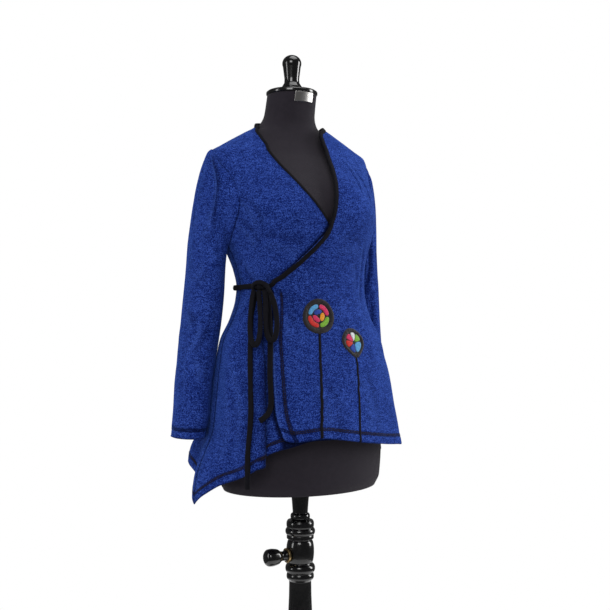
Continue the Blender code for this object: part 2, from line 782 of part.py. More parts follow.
def make_stand_pieces(black, brass, steel):
    """Base, turned post with its bore, pole, collar and clamp screw."""
    base = [
        (0.0, 0.044), (0.060, 0.043), (0.100, 0.038), (0.145, 0.030),
        (0.168, 0.026), (0.178, 0.023), (BASE_RADIUS, 0.016), (BASE_RADIUS, 0.003),
        (BASE_RADIUS - 0.003, 0.0), (0.0, 0.0),
    ]
    spin_profile("base", base, black, 36)

    bore = POLE_RADIUS + BORE_GAP
    post = [(0.0, BORE_BOTTOM), (bore, BORE_BOTTOM), (bore, STAND_TOP), (0.0255, STAND_TOP)]
    post += bead(0.0260, 0.0016, 0.5560, 0.5690, 3)
    post += bead(0.0262, 0.0036, 0.5425, 0.5550, 3)
    post += [(0.0270, 0.5400), (0.0270, 0.5345), (0.0232, 0.5325)]
    post += bead(0.0232, 0.0045, 0.4860, 0.5310, 6)
    post += bead(0.0252, 0.0046, 0.4670, 0.4835, 3)
    post += bead(0.0250, 0.0024, 0.4535, 0.4655, 3)
    post += [(0.0220, 0.4500), (0.0225, 0.4200), (0.0262, 0.3300), (0.0255, 0.2400), (0.0215, 0.1700)]
    post += bead(0.0230, 0.0060, 0.1420, 0.1620, 3)
    post += [(0.0225, 0.1380), (0.0260, 0.1100), (0.0360, 0.0750), (0.0480, 0.0560)]
    post += [(0.0560, 0.0500), (0.0560, 0.0443), (0.0, 0.0443)]
    spin_profile("post", post, black)

    pole = [(0.0, COLLAR_BOTTOM + 0.030), (POLE_RADIUS, COLLAR_BOTTOM + 0.030)]
    pole += [(POLE_RADIUS, POLE_BOTTOM), (0.0, POLE_BOTTOM)]
    spin_profile("pole", pole, steel)

    socket = POLE_RADIUS + BORE_GAP
    depth = COLLAR_BOTTOM + 0.0303
    neck = [(0.0, NECK_TOP), (0.0210, NECK_TOP), (0.0185, 0.6300), (0.0160, 0.6000), (0.0150, 0.5850)]
    neck += bead(0.0170, 0.0025, COLLAR_BOTTOM + 0.0010, 0.5840)
    neck += [(0.0170, COLLAR_BOTTOM), (socket, COLLAR_BOTTOM), (socket, depth), (0.0, depth)]
    spin_profile("form_neck", neck, black)

    ring = [(0.0145, 0.0), (0.0145, -0.0045), (0.0060, -0.0045), (0.0060, 0.0)]
    along = Matrix.Rotation(math.radians(-90), 4, "Y")
    screw_axis = Matrix.Translation((-SCREW_SPOT, 0.0, SCREW_HEIGHT)) @ along
    ring_piece = spin_profile("screw_ring", ring + ring[:1], brass)
    ring_piece.matrix_world = screw_axis @ Matrix.Translation((0, 0, 0.0045))
    knob = [
        (0.0, 0.0520), (0.0110, 0.0510), (0.0165, 0.0460), (0.0172, 0.0360), (0.0150, 0.0240),
        (0.0095, 0.0170), (0.0090, 0.0100), (0.0120, 0.0048), (0.0057, 0.0048), (0.0057, 0.0003),
        (0.0, 0.0003),
    ]
    knob_piece = spin_profile("clamp_screw", knob, black)
    knob_piece.matrix_world = screw_axis


def make_knot(material):
    """The knot of the tie, on the side of the waist."""
    centre = cloth_point(KNOT_ANGLE, KNOT_HEIGHT, KNOT_DEEP / 2 + LAY_GAP)
    out = (centre - cloth_point(KNOT_ANGLE, KNOT_HEIGHT)).normalized()
    side = Vector((0, 0, 1)).cross(out).normalized()
    up = out.cross(side)
    turn = Matrix((side, up, out)).transposed().to_4x4()
    bm = bmesh.new()
    bmesh.ops.create_uvsphere(bm, u_segments=14, v_segments=8, radius=1.0)
    for vert in bm.verts:
        x, y, z = vert.co
        vert.co = Vector((
            KNOT_LENGTH / 2 * math.copysign(abs(x) ** 0.7, x),
            KNOT_TALL / 2 * math.copysign(abs(y) ** 0.8, y),
            KNOT_DEEP / 2 * math.copysign(abs(z) ** 0.9, z),
        ))
    bmesh.ops.transform(bm, matrix=Matrix.Translation(centre) @ turn, verts=bm.verts)
    mesh = bpy.data.meshes.new("tie_knot")
    bm.to_mesh(mesh)
    bm.free()
    return add_object("tie_knot", mesh, material)


def waist_route():
    """The strand's middle line, laid on the cloth round the waist."""
    first = WAIST_STRAND[0]["angle"]
    last = WAIST_STRAND[-1]["angle"]
    points = []
    for share in spread(WAIST_STEPS):
        angle = blend(first, last, share)
        height = smooth_value(WAIST_STRAND, "angle", "height", angle)
        points.append(cloth_point(angle, height, TIE_RADIUS + TIE_GAP))
    return points


def flower_spot(flower, turn, share):
    """Angle and height of a point of a flower, by its turn and its share of the reach."""
    around = math.radians(turn)
    middle = flower["angle"]
    radius = smooth_value(CLOTH, "height", "width", flower["height"]) * math.cos(math.radians(middle))
    down = share * math.cos(around)
    width = flower["half_width"] * (1 - flower["point"] * max(down, 0.0) ** 1.5)
    across = math.degrees(width * share * math.sin(around) / radius)
    return middle + across, flower["height"] - flower["half_height"] * down


def left_share(angle, level):
    """Where an angle lies between the outer front's free edge and its side."""
    edge = smooth_value(LEFT_EDGE, "height", "angle", level)
    side = 90.0 - SEAM_ANGLE - armhole_angle(level, ARM_CUT_FRONT)
    return (angle - edge) / (side - edge)


def make_patch(name, on_panel, flower, turns, reaches, material, closed=False):
    """A piece of a flower between two turns and two shares of its reach, laid on the front."""
    def place(turn, share):
        angle, level = flower_spot(flower, turn, share)
        return on_panel(left_share(angle, level), level, LAY_GAP + PATCH_WALL)
    return make_sheet(name, turns, reaches, place, PATCH_WALL, material, closed)


def make_stem(name, on_panel, flower, material):
    """A narrow strip from the flower down to the hem."""
    foot = flower["stem_foot"]
    top = flower["height"] - flower["half_height"] - STEM_GAP
    half_turn = math.degrees(STEM_WIDTH / 2 / smooth_value(CLOTH, "height", "width", flower["height"]))

    def place(across, level):
        middle = blend(flower["stem_angle"], flower["angle"], (level - foot) / (top - foot))
        middle += half_turn * across
        return on_panel(left_share(middle, level), level, LAY_GAP + PATCH_WALL)
    levels = [foot] + [level for level in SKIRT_ROWS if foot + STEM_GAP < level < top - STEM_GAP] + [top]
    return make_sheet(name, (-1.0, 1.0), levels, place, PATCH_WALL, material)


def make_flower(on_panel, flower, petals, colours, rim):
    """A flower: its rim, the petals inside it, each its own cut piece, and its stem."""
    all_round = [360.0 * share for share in spread(RIM_STEPS)]
    name = flower["name"]
    make_patch(name + "_rim", on_panel, flower, all_round, (1.0, RIM_INNER), rim, True)
    for k, petal in enumerate(petals):
        turns = [blend(petal["start"], petal["end"], share) for share in spread(PETAL_STEPS)]
        reaches = (petal["outer"], petal["inner"])
        make_patch(f"{name}_petal_{k + 1}", on_panel, flower, turns, reaches, colours[petal["colour"]])
    make_stem(name + "_stem", on_panel, flower, rim)


def smooth_route(points, spacing):
    """Points at an even spacing on a smooth curve through a route's own points."""
    dense = []
    for i in range(len(points) - 1):
        before = points[max(i - 1, 0)]
        start = points[i]
        end = points[i + 1]
        after = points[min(i + 2, len(points) - 1)]
        for k in range(12):
            t = k / 12
            a = (end - before) * 0.5
            b = (after - start) * 0.5
            value = start * (2 * t ** 3 - 3 * t ** 2 + 1) + a * (t ** 3 - 2 * t ** 2 + t)
            dense.append(value + end * (3 * t ** 2 - 2 * t ** 3) + b * (t ** 3 - t ** 2))
    dense.append(points[-1])
    lengths = [0.0]
    for first, second in zip(dense, dense[1:]):
        lengths.append(lengths[-1] + (second - first).length)
    count = max(2, round(lengths[-1] / spacing))
    route = []
    k = 0
    for i in range(count + 1):
        want = lengths[-1] * i / count
        while k < len(dense) - 2 and lengths[k + 1] < want:
            k += 1
        share = (want - lengths[k]) / (lengths[k + 1] - lengths[k])
        route.append(dense[k].lerp(dense[k + 1], min(max(share, 0.0), 1.0)))
    return route


def make_tube(name, points, spacing, material):
    """A round tube of the tie along a smooth route."""
    curve = bpy.data.curves.new(name, "CURVE")
    curve.dimensions = "3D"
    curve.bevel_depth = TIE_RADIUS
    curve.bevel_resolution = 2
    curve.use_fill_caps = True
    route = smooth_route([Vector(point) for point in points], spacing)
    spline = curve.splines.new("POLY")
    spline.points.add(len(route) - 1)
    for point, place in zip(spline.points, route):
        point.co = (*place, 1.0)
    curve.materials.append(material)
    piece = bpy.data.objects.new(name, curve)
    COLLECTION.objects.link(piece)
    return piece


clear_scene()
COLLECTION = bpy.data.collections.new("wrap_sweatshirt_on_dress_form")
bpy.context.scene.collection.children.link(COLLECTION)

blue_knit = make_material("heather_knit", (0.020, 0.055, 0.300), 0.90)
black_jersey = make_material("black_jersey", (0.010, 0.010, 0.014), 0.85)
form_jersey = make_material("form_jersey", (0.028, 0.026, 0.031), 0.88)
gloss_black = make_material("gloss_black_wood", (0.008, 0.008, 0.009), 0.22)
silver = make_material("plate_metal", (0.62, 0.62, 0.60), 0.30, 1.0)
brass = make_material("brass", (0.55, 0.40, 0.20), 0.35, 1.0)
steel = make_material("pole_steel", (0.45, 0.45, 0.46), 0.30, 1.0)

wool = {
    "rose": make_material("rose_felt", (0.62, 0.05, 0.16), 0.9),
    "red": make_material("red_felt", (0.60, 0.04, 0.03), 0.9),
    "amber": make_material("amber_felt", (0.75, 0.36, 0.05), 0.9),
    "green": make_material("green_felt", (0.22, 0.42, 0.06), 0.9),
    "sky": make_material("sky_felt", (0.14, 0.40, 0.66), 0.9),
    "navy": make_material("navy_felt", (0.03, 0.09, 0.42), 0.9),
    "white": make_material("white_felt", (0.75, 0.76, 0.78), 0.9),
}

rows = panel_rows()
left_columns = spread(LEFT_COLUMNS)
back_columns = spread(BACK_COLUMNS)
right_columns = right_front_columns()
on_left = panel_surface(left_columns, rows, left_front_point)
on_right = panel_surface(right_columns, rows, right_front_point)
on_back = panel_surface(back_columns, rows, back_point)
left_band_rows = finer([level for level in rows if level > WAIST + 0.004])
right_band_rows = finer([RIGHT_BAND_END] + [level for level in rows if level > RIGHT_BAND_END + 0.004])

make_sheet("back", back_columns, rows, back_point, WALL, blue_knit)
make_sheet("front_left", left_columns, rows, left_front_point, WALL, blue_knit)
make_sheet("front_right", right_columns, rows, right_front_point, WALL, blue_knit)
make_sleeve(-1, "sleeve_right", blue_knit)
make_sleeve(1, "sleeve_left", blue_knit)
make_band("band_left", on_left, left_band_rows, 0.0, black_jersey)
make_band("band_right", on_right, right_band_rows, 1.0, black_jersey)
make_back_band("band_neck", on_back, black_jersey)
for flower, petals in zip(FLOWERS, (ROUND_PETALS, BUD_PETALS)):
    make_flower(on_left, flower, petals, wool, black_jersey)
make_knot(black_jersey)
make_tube("tie_waist", waist_route(), TIE_SPACING, black_jersey)
for name, points in LOOPS.items():
    make_tube(name, points, LOOP_SPACING, black_jersey)
for name, points in TAILS.items():
    make_tube(name, points, TIE_SPACING, black_jersey)
make_form(form_jersey)
make_cap(gloss_black)
make_plate(silver)
make_stand_pieces(gloss_black, brass, steel)
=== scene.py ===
# %% [markdown]
# # A wrap sweatshirt on a dress form
# This notebook dresses a plain CAD model of a knitted wrap top that is worn by a limbless
# dress form. The CAD gives every place and size; here each piece gets the shape, folds and
# finish that the real thing shows. The frame is loaded first, because every piece is measured
# from it and moves with one of its bodies.

# %% Load the model
import math

import bmesh
import bpy
import numpy as np
from mathutils import Matrix, Vector


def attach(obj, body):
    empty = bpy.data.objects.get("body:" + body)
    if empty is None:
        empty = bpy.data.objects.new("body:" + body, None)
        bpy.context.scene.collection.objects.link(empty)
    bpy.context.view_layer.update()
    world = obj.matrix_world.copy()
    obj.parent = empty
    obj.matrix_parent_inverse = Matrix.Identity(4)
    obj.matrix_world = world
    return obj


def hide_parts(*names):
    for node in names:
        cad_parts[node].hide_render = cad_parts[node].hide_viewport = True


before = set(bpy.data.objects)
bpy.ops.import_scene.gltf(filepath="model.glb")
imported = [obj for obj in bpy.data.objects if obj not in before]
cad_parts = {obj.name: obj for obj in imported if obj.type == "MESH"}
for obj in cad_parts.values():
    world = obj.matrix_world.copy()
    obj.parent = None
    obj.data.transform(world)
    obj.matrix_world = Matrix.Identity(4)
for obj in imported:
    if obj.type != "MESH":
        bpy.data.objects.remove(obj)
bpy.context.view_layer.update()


def named(columns, *rows):
    """A table whose rows are read by the names of its columns."""
    return [dict(zip(columns.split(), row)) for row in rows]


# %% [markdown]
# ## Camera and studio
# The view is level, two metres from the stand and 30 degrees to the wearer's right. A white
# surround with a few large soft lamps gives the even light of a catalogue picture. Polished
# pieces mirror a much dimmer surround, so that black lacquer stays black.

# %% Camera
PICTURE = 610
EYE = (-1.0, -1.732, 1.0)
TURN = -30.0
STAND_COLUMN = 300.2
LENS = 59.016

camera = bpy.data.cameras.new("camera")
camera.lens = LENS
camera.sensor_width = 36.0
camera.shift_x = (PICTURE / 2 - STAND_COLUMN) / PICTURE
eye = bpy.data.objects.new("camera", camera)
eye.location = EYE
eye.rotation_euler = (math.radians(90), 0.0, math.radians(TURN))
bpy.context.scene.collection.objects.link(eye)
bpy.context.scene.camera = eye
bpy.context.scene.view_settings.view_transform = "Standard"
print("camera", eye.location[:], "shift", round(camera.shift_x, 5))

# %% Surround and lamps
WHITE = (1.0, 1.0, 1.0, 1.0)
SURROUND_SEEN = 1.0
SURROUND_LIGHT = 0.52
SURROUND_MIRRORED = 0.07
LAMPS = named(
    "name place target width height power",
    ("lamp_key", (-1.9, -2.3, 2.3), (0.0, 0.0, 1.05), 1.3, 1.3, 26.0),
    ("lamp_left", (-2.4, 0.4, 1.3), (0.0, 0.0, 1.0), 0.5, 1.8, 11.0),
    ("lamp_right", (2.2, -0.9, 1.4), (0.0, 0.0, 1.0), 0.7, 1.8, 32.0),
    ("lamp_top", (0.2, -0.3, 3.0), (0.0, 0.0, 1.2), 1.4, 1.4, 14.0),
)

world = bpy.data.worlds.new("studio")
world.use_nodes = True
nodes = world.node_tree.nodes
rays = nodes.new("ShaderNodeLightPath")
strength = nodes.new("ShaderNodeMix")
strength.inputs["A"].default_value = SURROUND_LIGHT
strength.inputs["B"].default_value = SURROUND_MIRRORED
surround = nodes["Background"]
surround.inputs["Color"].default_value = WHITE
seen = nodes.new("ShaderNodeBackground")
seen.inputs["Color"].default_value = WHITE
seen.inputs["Strength"].default_value = SURROUND_SEEN
choice = nodes.new("ShaderNodeMixShader")
for output, socket in (
    (rays.outputs["Is Glossy Ray"], strength.inputs["Factor"]),
    (strength.outputs["Result"], surround.inputs["Strength"]),
    (rays.outputs["Is Camera Ray"], choice.inputs[0]),
    (surround.outputs[0], choice.inputs[1]),
    (seen.outputs[0], choice.inputs[2]),
    (choice.outputs[0], nodes["World Output"].inputs["Surface"]),
):
    world.node_tree.links.new(output, socket)
bpy.context.scene.world = world
for lamp in LAMPS:
    data = bpy.data.lights.new(lamp["name"], "AREA")
    data.shape = "RECTANGLE"
    data.size = lamp["width"]
    data.size_y = lamp["height"]
    data.energy = lamp["power"]
    light = bpy.data.objects.new(lamp["name"], data)
    light.location = lamp["place"]
    aim = Vector(lamp["target"]) - Vector(lamp["place"])
    light.rotation_euler = aim.to_track_quat("-Z", "Y").to_euler()
    light.visible_camera = False
    bpy.context.scene.collection.objects.link(light)
print("lamps", len(LAMPS))

# %% [markdown]
# ## Materials as Python expressions
# A finish is a node tree, and long node trees are hard to read as lists of links. One small
# class wraps a socket so that sums on it add Math nodes, and one method adds any other node.
# Values that are the same all over a surface are set on the shader itself.

# %% A socket that can be added and multiplied


class Value:
    """A socket of a node tree; sums on it add Math nodes."""

    def __init__(self, finish, socket):
        self.finish = finish
        self.socket = socket

    def math(self, operation, *terms):
        return self.finish.node("Math", {"operation": operation}, dict(enumerate(terms)))

    def __add__(self, other):
        return self.math("ADD", self, other)

    def __sub__(self, other):
        return self.math("SUBTRACT", self, other)

    def __rsub__(self, other):
        return self.math("SUBTRACT", other, self)

    def __mul__(self, other):
        return self.math("MULTIPLY", self, other)

    __radd__ = __add__
    __rmul__ = __mul__

    def sine(self):
        return self.math("SINE", self)

    def clamped(self):
        return self.finish.node("Clamp", {}, {"Value": self})


class Finish:
    """A Principled material; node() adds any node to its tree."""

    def __init__(self, name, **numbers):
        self.material = bpy.data.materials.new(name)
        self.material.use_nodes = True
        self.tree = self.material.node_tree
        self.shader = self.tree.nodes["Principled BSDF"]
        for socket, value in numbers.items():
            self.set(socket.replace("_", " "), value)

    def feed(self, socket, value):
        if isinstance(value, Value):
            self.tree.links.new(value.socket, socket)
        else:
            socket.default_value = value

    def set(self, name, value):
        self.feed(self.shader.inputs[name], value)

    def node(self, kind, settings=None, sockets=None, output=0):
        made = self.tree.nodes.new("ShaderNode" + kind)
        for name, value in (settings or {}).items():
            setattr(made, name, value)
        for key, value in (sockets or {}).items():
            self.feed(made.inputs[key], value)
        return Value(self, made.outputs[output])

    def place(self):
        """Where a point is in the object, in metres."""
        return self.node("TexCoord", output="Object")

    def flat_place(self):
        """Where a point is on the flat cloth, in metres."""
        return self.node("UVMap", {"uv_map": "cloth"})

    def scaled(self, vector, x, y, z=1.0):
        return self.node("Mapping", {"vector_type": "POINT"}, {"Vector": vector, "Scale": (x, y, z)})

    def noise(self, vector, scale, detail=2.0, rough=0.5, twist=0.0):
        names = ("Vector", "Scale", "Detail", "Roughness", "Distortion")
        return self.node("TexNoise", {}, dict(zip(names, (vector, scale, detail, rough, twist))))

    def ribs(self, vector, axis, spacing):
        """Rounded ribs across one axis of a place."""
        return (self.node("SeparateXYZ", {}, {0: vector}, axis) * (2 * math.pi / spacing)).sine()

    def mix(self, share, first, second):
        return self.node("Mix", {"data_type": "RGBA"}, {0: share, 6: first, 7: second}, 2)

    def bump(self, height, distance, strength):
        sockets = {"Height": height, "Distance": distance, "Strength": strength}
        self.set("Normal", self.node("Bump", {}, sockets))


def colour(red, green, blue):
    """A linear colour with full cover."""
    return (red, green, blue, 1.0)


print("a colour has", len(colour(0.0, 0.0, 0.0)), "numbers")

# %% [markdown]
# ## Heather knit
# The cloth is a brushed knit of mixed light and dark blue fibres. An even noise gives the
# marl, a longer one its upright streaks, one on the flat cloth its fibres, and a wide faint
# one the uneven tone of a brushed face. Each piece also carries a painted light value of its own:
# painted highlight on its ridges, painted shade in its troughs and seams. Rows of loops make the bump.

# %% Heather knit
# The first two colours are painted shade and painted highlight for the cloth's troughs and ridges.
PAINTED_SHADE_BLUE = colour(0.0012, 0.0016, 0.008)
PAINTED_HIGHLIGHT_BLUE = colour(0.060, 0.125, 0.40)
DEEP_BLUE = colour(0.0018, 0.0064, 0.070)
MIDDLE_BLUE = colour(0.0085, 0.027, 0.192)
BRIGHT_BLUE = colour(0.043, 0.097, 0.44)
SHEEN_BLUE = colour(0.10, 0.26, 1.0)
LOOP_WIDE = 0.0016
LOOP_TALL = 0.0013


def make_heather(name):
    """Brushed knit of mixed blue fibres, with painted shade and painted highlight from a value on each
    vertex.
    """
    finish = Finish(
        name, Roughness=0.95, Specular_IOR_Level=0.06,
        Sheen_Weight=0.42, Sheen_Roughness=0.35, Sheen_Tint=SHEEN_BLUE,
    )
    place = finish.place()
    flat = finish.flat_place()
    marl = finish.noise(finish.scaled(place, 0.9, 0.9, 1.1), 560.0, 2.0, 0.6)
    streak = finish.noise(finish.scaled(place, 0.35, 0.35, 1.2), 240.0, 2.0, 0.6)
    fibre = finish.noise(finish.scaled(flat, 1.0, 0.6), 900.0, 3.0, 0.7, 0.4)
    broad = finish.noise(place, 22.0)
    # A value on each vertex paints shade and highlight: darker in troughs, seams, grooves, under the outer
    # front and in the deep fold, lighter on ridges.
    painted_light = finish.node("Attribute", {"attribute_name": "painted_light"}, output="Fac")
    mixed = (marl - 0.5) * 4.0 + (streak - 0.5) * 1.2 + (fibre - 0.5) * 2.4 + (broad - 0.5) * 0.4
    mixed = (mixed + painted_light * 0.30 + 0.475).clamped()
    low = finish.mix((mixed * 2.0).clamped(), DEEP_BLUE, MIDDLE_BLUE)
    tone = finish.mix((mixed * 2.0 - 1.0).clamped(), low, BRIGHT_BLUE)
    tone = finish.mix((painted_light * 0.75).clamped(), tone, PAINTED_HIGHLIGHT_BLUE)
    finish.set("Base Color", finish.mix((painted_light * -0.85).clamped(), tone, PAINTED_SHADE_BLUE))
    loops = finish.ribs(flat, 0, LOOP_WIDE) * finish.ribs(flat, 1, LOOP_TALL)
    tuft = finish.noise(finish.scaled(flat, 1.0, 0.6), 1500.0, 2.0, 0.6)
    finish.bump(loops * 0.12 + tuft * 0.5 + fibre * 0.7 + marl * 0.6, 0.0009, 0.9)
    return finish.material


heather = make_heather("heather_knit_dressed")
print("heather knit", len(heather.node_tree.nodes), "nodes")

# %% [markdown]
# ## Black jersey, the form's cover and thread
# The binding and the tie are black jersey, and the form wears a charcoal stretch cover. Both
# are fine smooth knits, so they share one function with the size of the rib and two tones.

# %% Jerseys and thread


def make_jersey(name, dark, light, rib, sheen, mapped=True):
    """Fine knit with a rib along the cloth."""
    finish = Finish(name, Roughness=0.86, Specular_IOR_Level=0.12, Sheen_Weight=sheen, Sheen_Roughness=0.4)
    place = finish.place()
    flat = finish.flat_place() if mapped else place
    tone = finish.noise(place, 90.0, 3.0, 0.6)
    fibre = finish.noise(place, 1300.0, 2.0, 0.6)
    mixed = ((tone - 0.5) * 0.9 + (fibre - 0.5) * 1.4 + 0.5).clamped()
    finish.set("Base Color", finish.mix(mixed, colour(*dark), colour(*light)))
    finish.set("Roughness", tone * 0.16 + 0.78)
    finish.bump(finish.ribs(flat, 0, rib) * 0.35 + fibre * 0.8, 0.0003, 0.7)
    return finish.material


black_jersey = make_jersey(
    "black_jersey_dressed", (0.0025, 0.0025, 0.004), (0.0085, 0.0080, 0.0125), 0.0011, 0.03,
)
form_cover = make_jersey("form_cover", (0.018, 0.0155, 0.0215), (0.029, 0.0245, 0.0325), 0.0009, 0.10, False)
thread = make_jersey("dark_thread", (0.010, 0.007, 0.008), (0.026, 0.018, 0.020), 0.0008, 0.05, False)
print("jerseys", black_jersey.name, form_cover.name, thread.name)

# %% [markdown]
# ## Felt, lacquer and metal
# The flowers are cut from coloured wool felt, whose short fibres lie every way. The stand is
# lacquered wood: a dark base under a clear coat with faint ripples and a little dust on it.
# The metals are brushed, so their grain is a noise drawn out one way.

# %% Felts
WOOL = {
    "rose": (0.68, 0.030, 0.125),
    "red": (0.62, 0.030, 0.022),
    "amber": (0.86, 0.34, 0.020),
    "green": (0.20, 0.44, 0.035),
    "sky": (0.10, 0.36, 0.68),
    "navy": (0.018, 0.060, 0.36),
    "white": (0.74, 0.77, 0.80),
}


def make_felt(name, tone):
    """Wool felt of one colour, with shaded tufts."""
    finish = Finish(name, Roughness=0.95, Specular_IOR_Level=0.15, Sheen_Weight=0.25, Sheen_Roughness=0.5)
    place = finish.place()
    tuft = finish.noise(place, 420.0, 3.0, 0.65, 0.8)
    fibre = finish.noise(place, 1700.0, 2.0, 0.6, 1.2)
    shade = ((tuft - 0.5) * 1.8 + (fibre - 0.5) * 1.0 + 0.55).clamped()
    dark = colour(*[0.45 * value for value in tone])
    light = colour(*[min(1.0, 1.12 * value + 0.01) for value in tone])
    finish.set("Base Color", finish.mix(shade, dark, light))
    finish.bump(tuft * 0.7 + fibre * 0.5, 0.0006, 0.9)
    return finish.material


felts = {name: make_felt(name + "_felt_dressed", tone) for name, tone in WOOL.items()}
rim_felt = make_felt("black_felt", (0.016, 0.013, 0.015))
print("felts", ", ".join(felts))

# %% Lacquer and metals


def make_lacquer(name):
    """Black lacquer over turned wood."""
    finish = Finish(name, Roughness=0.30, Coat_Weight=0.9, Coat_Roughness=0.06, Specular_IOR_Level=0.5)
    place = finish.place()
    dust = finish.noise(place, 55.0, 4.0, 0.6)
    speck = finish.noise(place, 600.0)
    tone = ((dust - 0.45) * 1.2 + (speck - 0.5) * 0.4).clamped()
    finish.set("Base Color", finish.mix(tone, colour(0.0026, 0.0026, 0.0032), colour(0.0080, 0.0075, 0.0078)))
    finish.set("Roughness", tone * 0.25 + 0.20)
    finish.bump(finish.noise(place, 16.0, 1.0, 0.4), 0.0006, 0.25)
    return finish.material


def make_metal(name, dark, light, stretch, roughness):
    """Brushed metal, its grain drawn out by a stretch in x, y and z."""
    finish = Finish(name, Metallic=1.0, Roughness=roughness)
    place = finish.place()
    grain = finish.noise(finish.scaled(place, *stretch), 120.0, 4.0, 0.65)
    cloud = finish.noise(place, 40.0)
    finish.set("Base Color", finish.mix((grain * 0.7 + cloud * 0.5).clamped(), colour(*dark), colour(*light)))
    finish.set("Roughness", grain * 0.16 + (roughness - 0.08))
    finish.bump(grain, 0.0001, 0.6)
    return finish.material


lacquer = make_lacquer("black_lacquer")
plate_metal = make_metal("brushed_plate", (0.42, 0.41, 0.40), (0.72, 0.71, 0.69), (3.0, 3.0, 60.0), 0.34)
brass = make_metal("worn_brass", (0.42, 0.28, 0.12), (0.66, 0.48, 0.24), (20.0, 20.0, 60.0), 0.32)
steel = make_metal("drawn_steel", (0.36, 0.36, 0.37), (0.58, 0.58, 0.59), (60.0, 60.0, 2.0), 0.28)

# %% [markdown]
# ## The body of the garment as sections
# The cloth follows the form closely to the waist and flares over the hips. Each row of a
# table is one level section: its height, its half width, how far forward and back it reaches,
# and how far back its widest place lies. A curve through the rows that never overshoots keeps
# the side lines clean. The same tables shaped the CAD, so every piece lands on its solid.

# %% Sections of the cloth and of the form


def curve(*rows):
    """A function that reads rows of place and value on a curve that never overshoots."""
    xs, ys = np.array(rows).T
    slopes = np.diff(ys) / np.diff(xs)
    before, after = slopes[:-1], slopes[1:]
    same_way = before * after > 0
    total = np.where(same_way, before + after, 1.0)
    middle = np.where(same_way, 2 * before * after / total, 0.0)
    turns = np.concatenate((slopes[:1], middle, slopes[-1:]))

    def read(places):
        places = np.clip(places, xs[0], xs[-1])
        k = np.clip(np.searchsorted(xs, places) - 1, 0, len(xs) - 2)
        step = xs[k + 1] - xs[k]
        t = (places - xs[k]) / step
        rise = t * t * (3 - 2 * t)
        bend = step * t * (1 - t) * ((1 - t) * turns[k] - t * turns[k + 1])
        return ys[k] + (ys[k + 1] - ys[k]) * rise + bend
    return read


def sections(*rows):
    """Curves of half width, front, back and widest place by height."""
    rows = np.array(rows)
    return [curve(*rows[:, (0, column)]) for column in range(1, 5)]


CLOTH = sections(
    (0.600, 0.2080, 0.190, 0.190, 0.000),
    (0.715, 0.1980, 0.170, 0.170, 0.000),
    (0.748, 0.1930, 0.163, 0.163, 0.000),
    (0.800, 0.1870, 0.150, 0.150, 0.000),
    (0.889, 0.1770, 0.127, 0.127, 0.000),
    (0.930, 0.1700, 0.115, 0.115, 0.000),
    (0.975, 0.1475, 0.102, 0.104, 0.001),
    (1.010, 0.1350, 0.097, 0.100, 0.002),
    (1.035, 0.1320, 0.096, 0.100, 0.003),
    (1.068, 0.1360, 0.097, 0.111, 0.008),
    (1.095, 0.1430, 0.100, 0.122, 0.014),
    (1.115, 0.1500, 0.103, 0.126, 0.020),
    (1.140, 0.1600, 0.106, 0.127, 0.028),
    (1.170, 0.1700, 0.106, 0.128, 0.037),
    (1.200, 0.1760, 0.100, 0.130, 0.043),
    (1.230, 0.1785, 0.088, 0.131, 0.046),
    (1.260, 0.1795, 0.067, 0.131, 0.047),
    (1.285, 0.1780, 0.046, 0.130, 0.048),
    (1.300, 0.1730, 0.034, 0.129, 0.049),
    (1.315, 0.1490, 0.025, 0.126, 0.050),
    (1.330, 0.1230, 0.018, 0.122, 0.051),
    (1.345, 0.0960, 0.011, 0.117, 0.052),
    (1.360, 0.0705, 0.006, 0.112, 0.053),
    (1.376, 0.0640, 0.004, 0.109, 0.053),
)
FORM = sections(
    (0.640, 0.1600, 0.120, 0.120, 0.000),
    (0.660, 0.1690, 0.129, 0.129, 0.000),
    (0.720, 0.1730, 0.131, 0.134, 0.000),
    (0.800, 0.1700, 0.126, 0.134, 0.000),
    (0.900, 0.1570, 0.110, 0.112, 0.000),
    (0.975, 0.1370, 0.092, 0.094, 0.001),
    (1.035, 0.1240, 0.087, 0.090, 0.003),
    (1.068, 0.1280, 0.089, 0.101, 0.008),
    (1.095, 0.1345, 0.092, 0.113, 0.014),
    (1.115, 0.1410, 0.095, 0.118, 0.020),
    (1.140, 0.1500, 0.098, 0.119, 0.028),
    (1.170, 0.1600, 0.098, 0.120, 0.037),
    (1.200, 0.1665, 0.092, 0.122, 0.043),
    (1.230, 0.1690, 0.080, 0.123, 0.046),
    (1.260, 0.1680, 0.058, 0.123, 0.047),
    (1.285, 0.1680, 0.036, 0.122, 0.048),
    (1.300, 0.1640, 0.023, 0.121, 0.049),
    (1.315, 0.1435, 0.014, 0.118, 0.050),
    (1.330, 0.1170, 0.007, 0.114, 0.051),
    (1.345, 0.0893, 0.003, 0.109, 0.051),
    (1.360, 0.0636, 0.001, 0.104, 0.051),
    (1.385, 0.0520, 0.006, 0.094, 0.044),
    (1.424, 0.0500, 0.016, 0.084, 0.034),
)
BUST_SIDE = 0.078
BUST_HEIGHT = 1.185
BUST_RISE = 0.024
BUST_SPREAD = 0.042


def ease(value):
    """Smooth step from 0 to 1."""
    value = np.clip(value, 0.0, 1.0)
    return value * value * (3 - 2 * value)


def bell(value, width):
    """A bump of height one that falls away over a width on both sides."""
    return np.exp(-(value / width) ** 2)


def unit(vectors):
    """The same directions with a length of one."""
    return vectors / np.linalg.norm(vectors, axis=-1, keepdims=True)


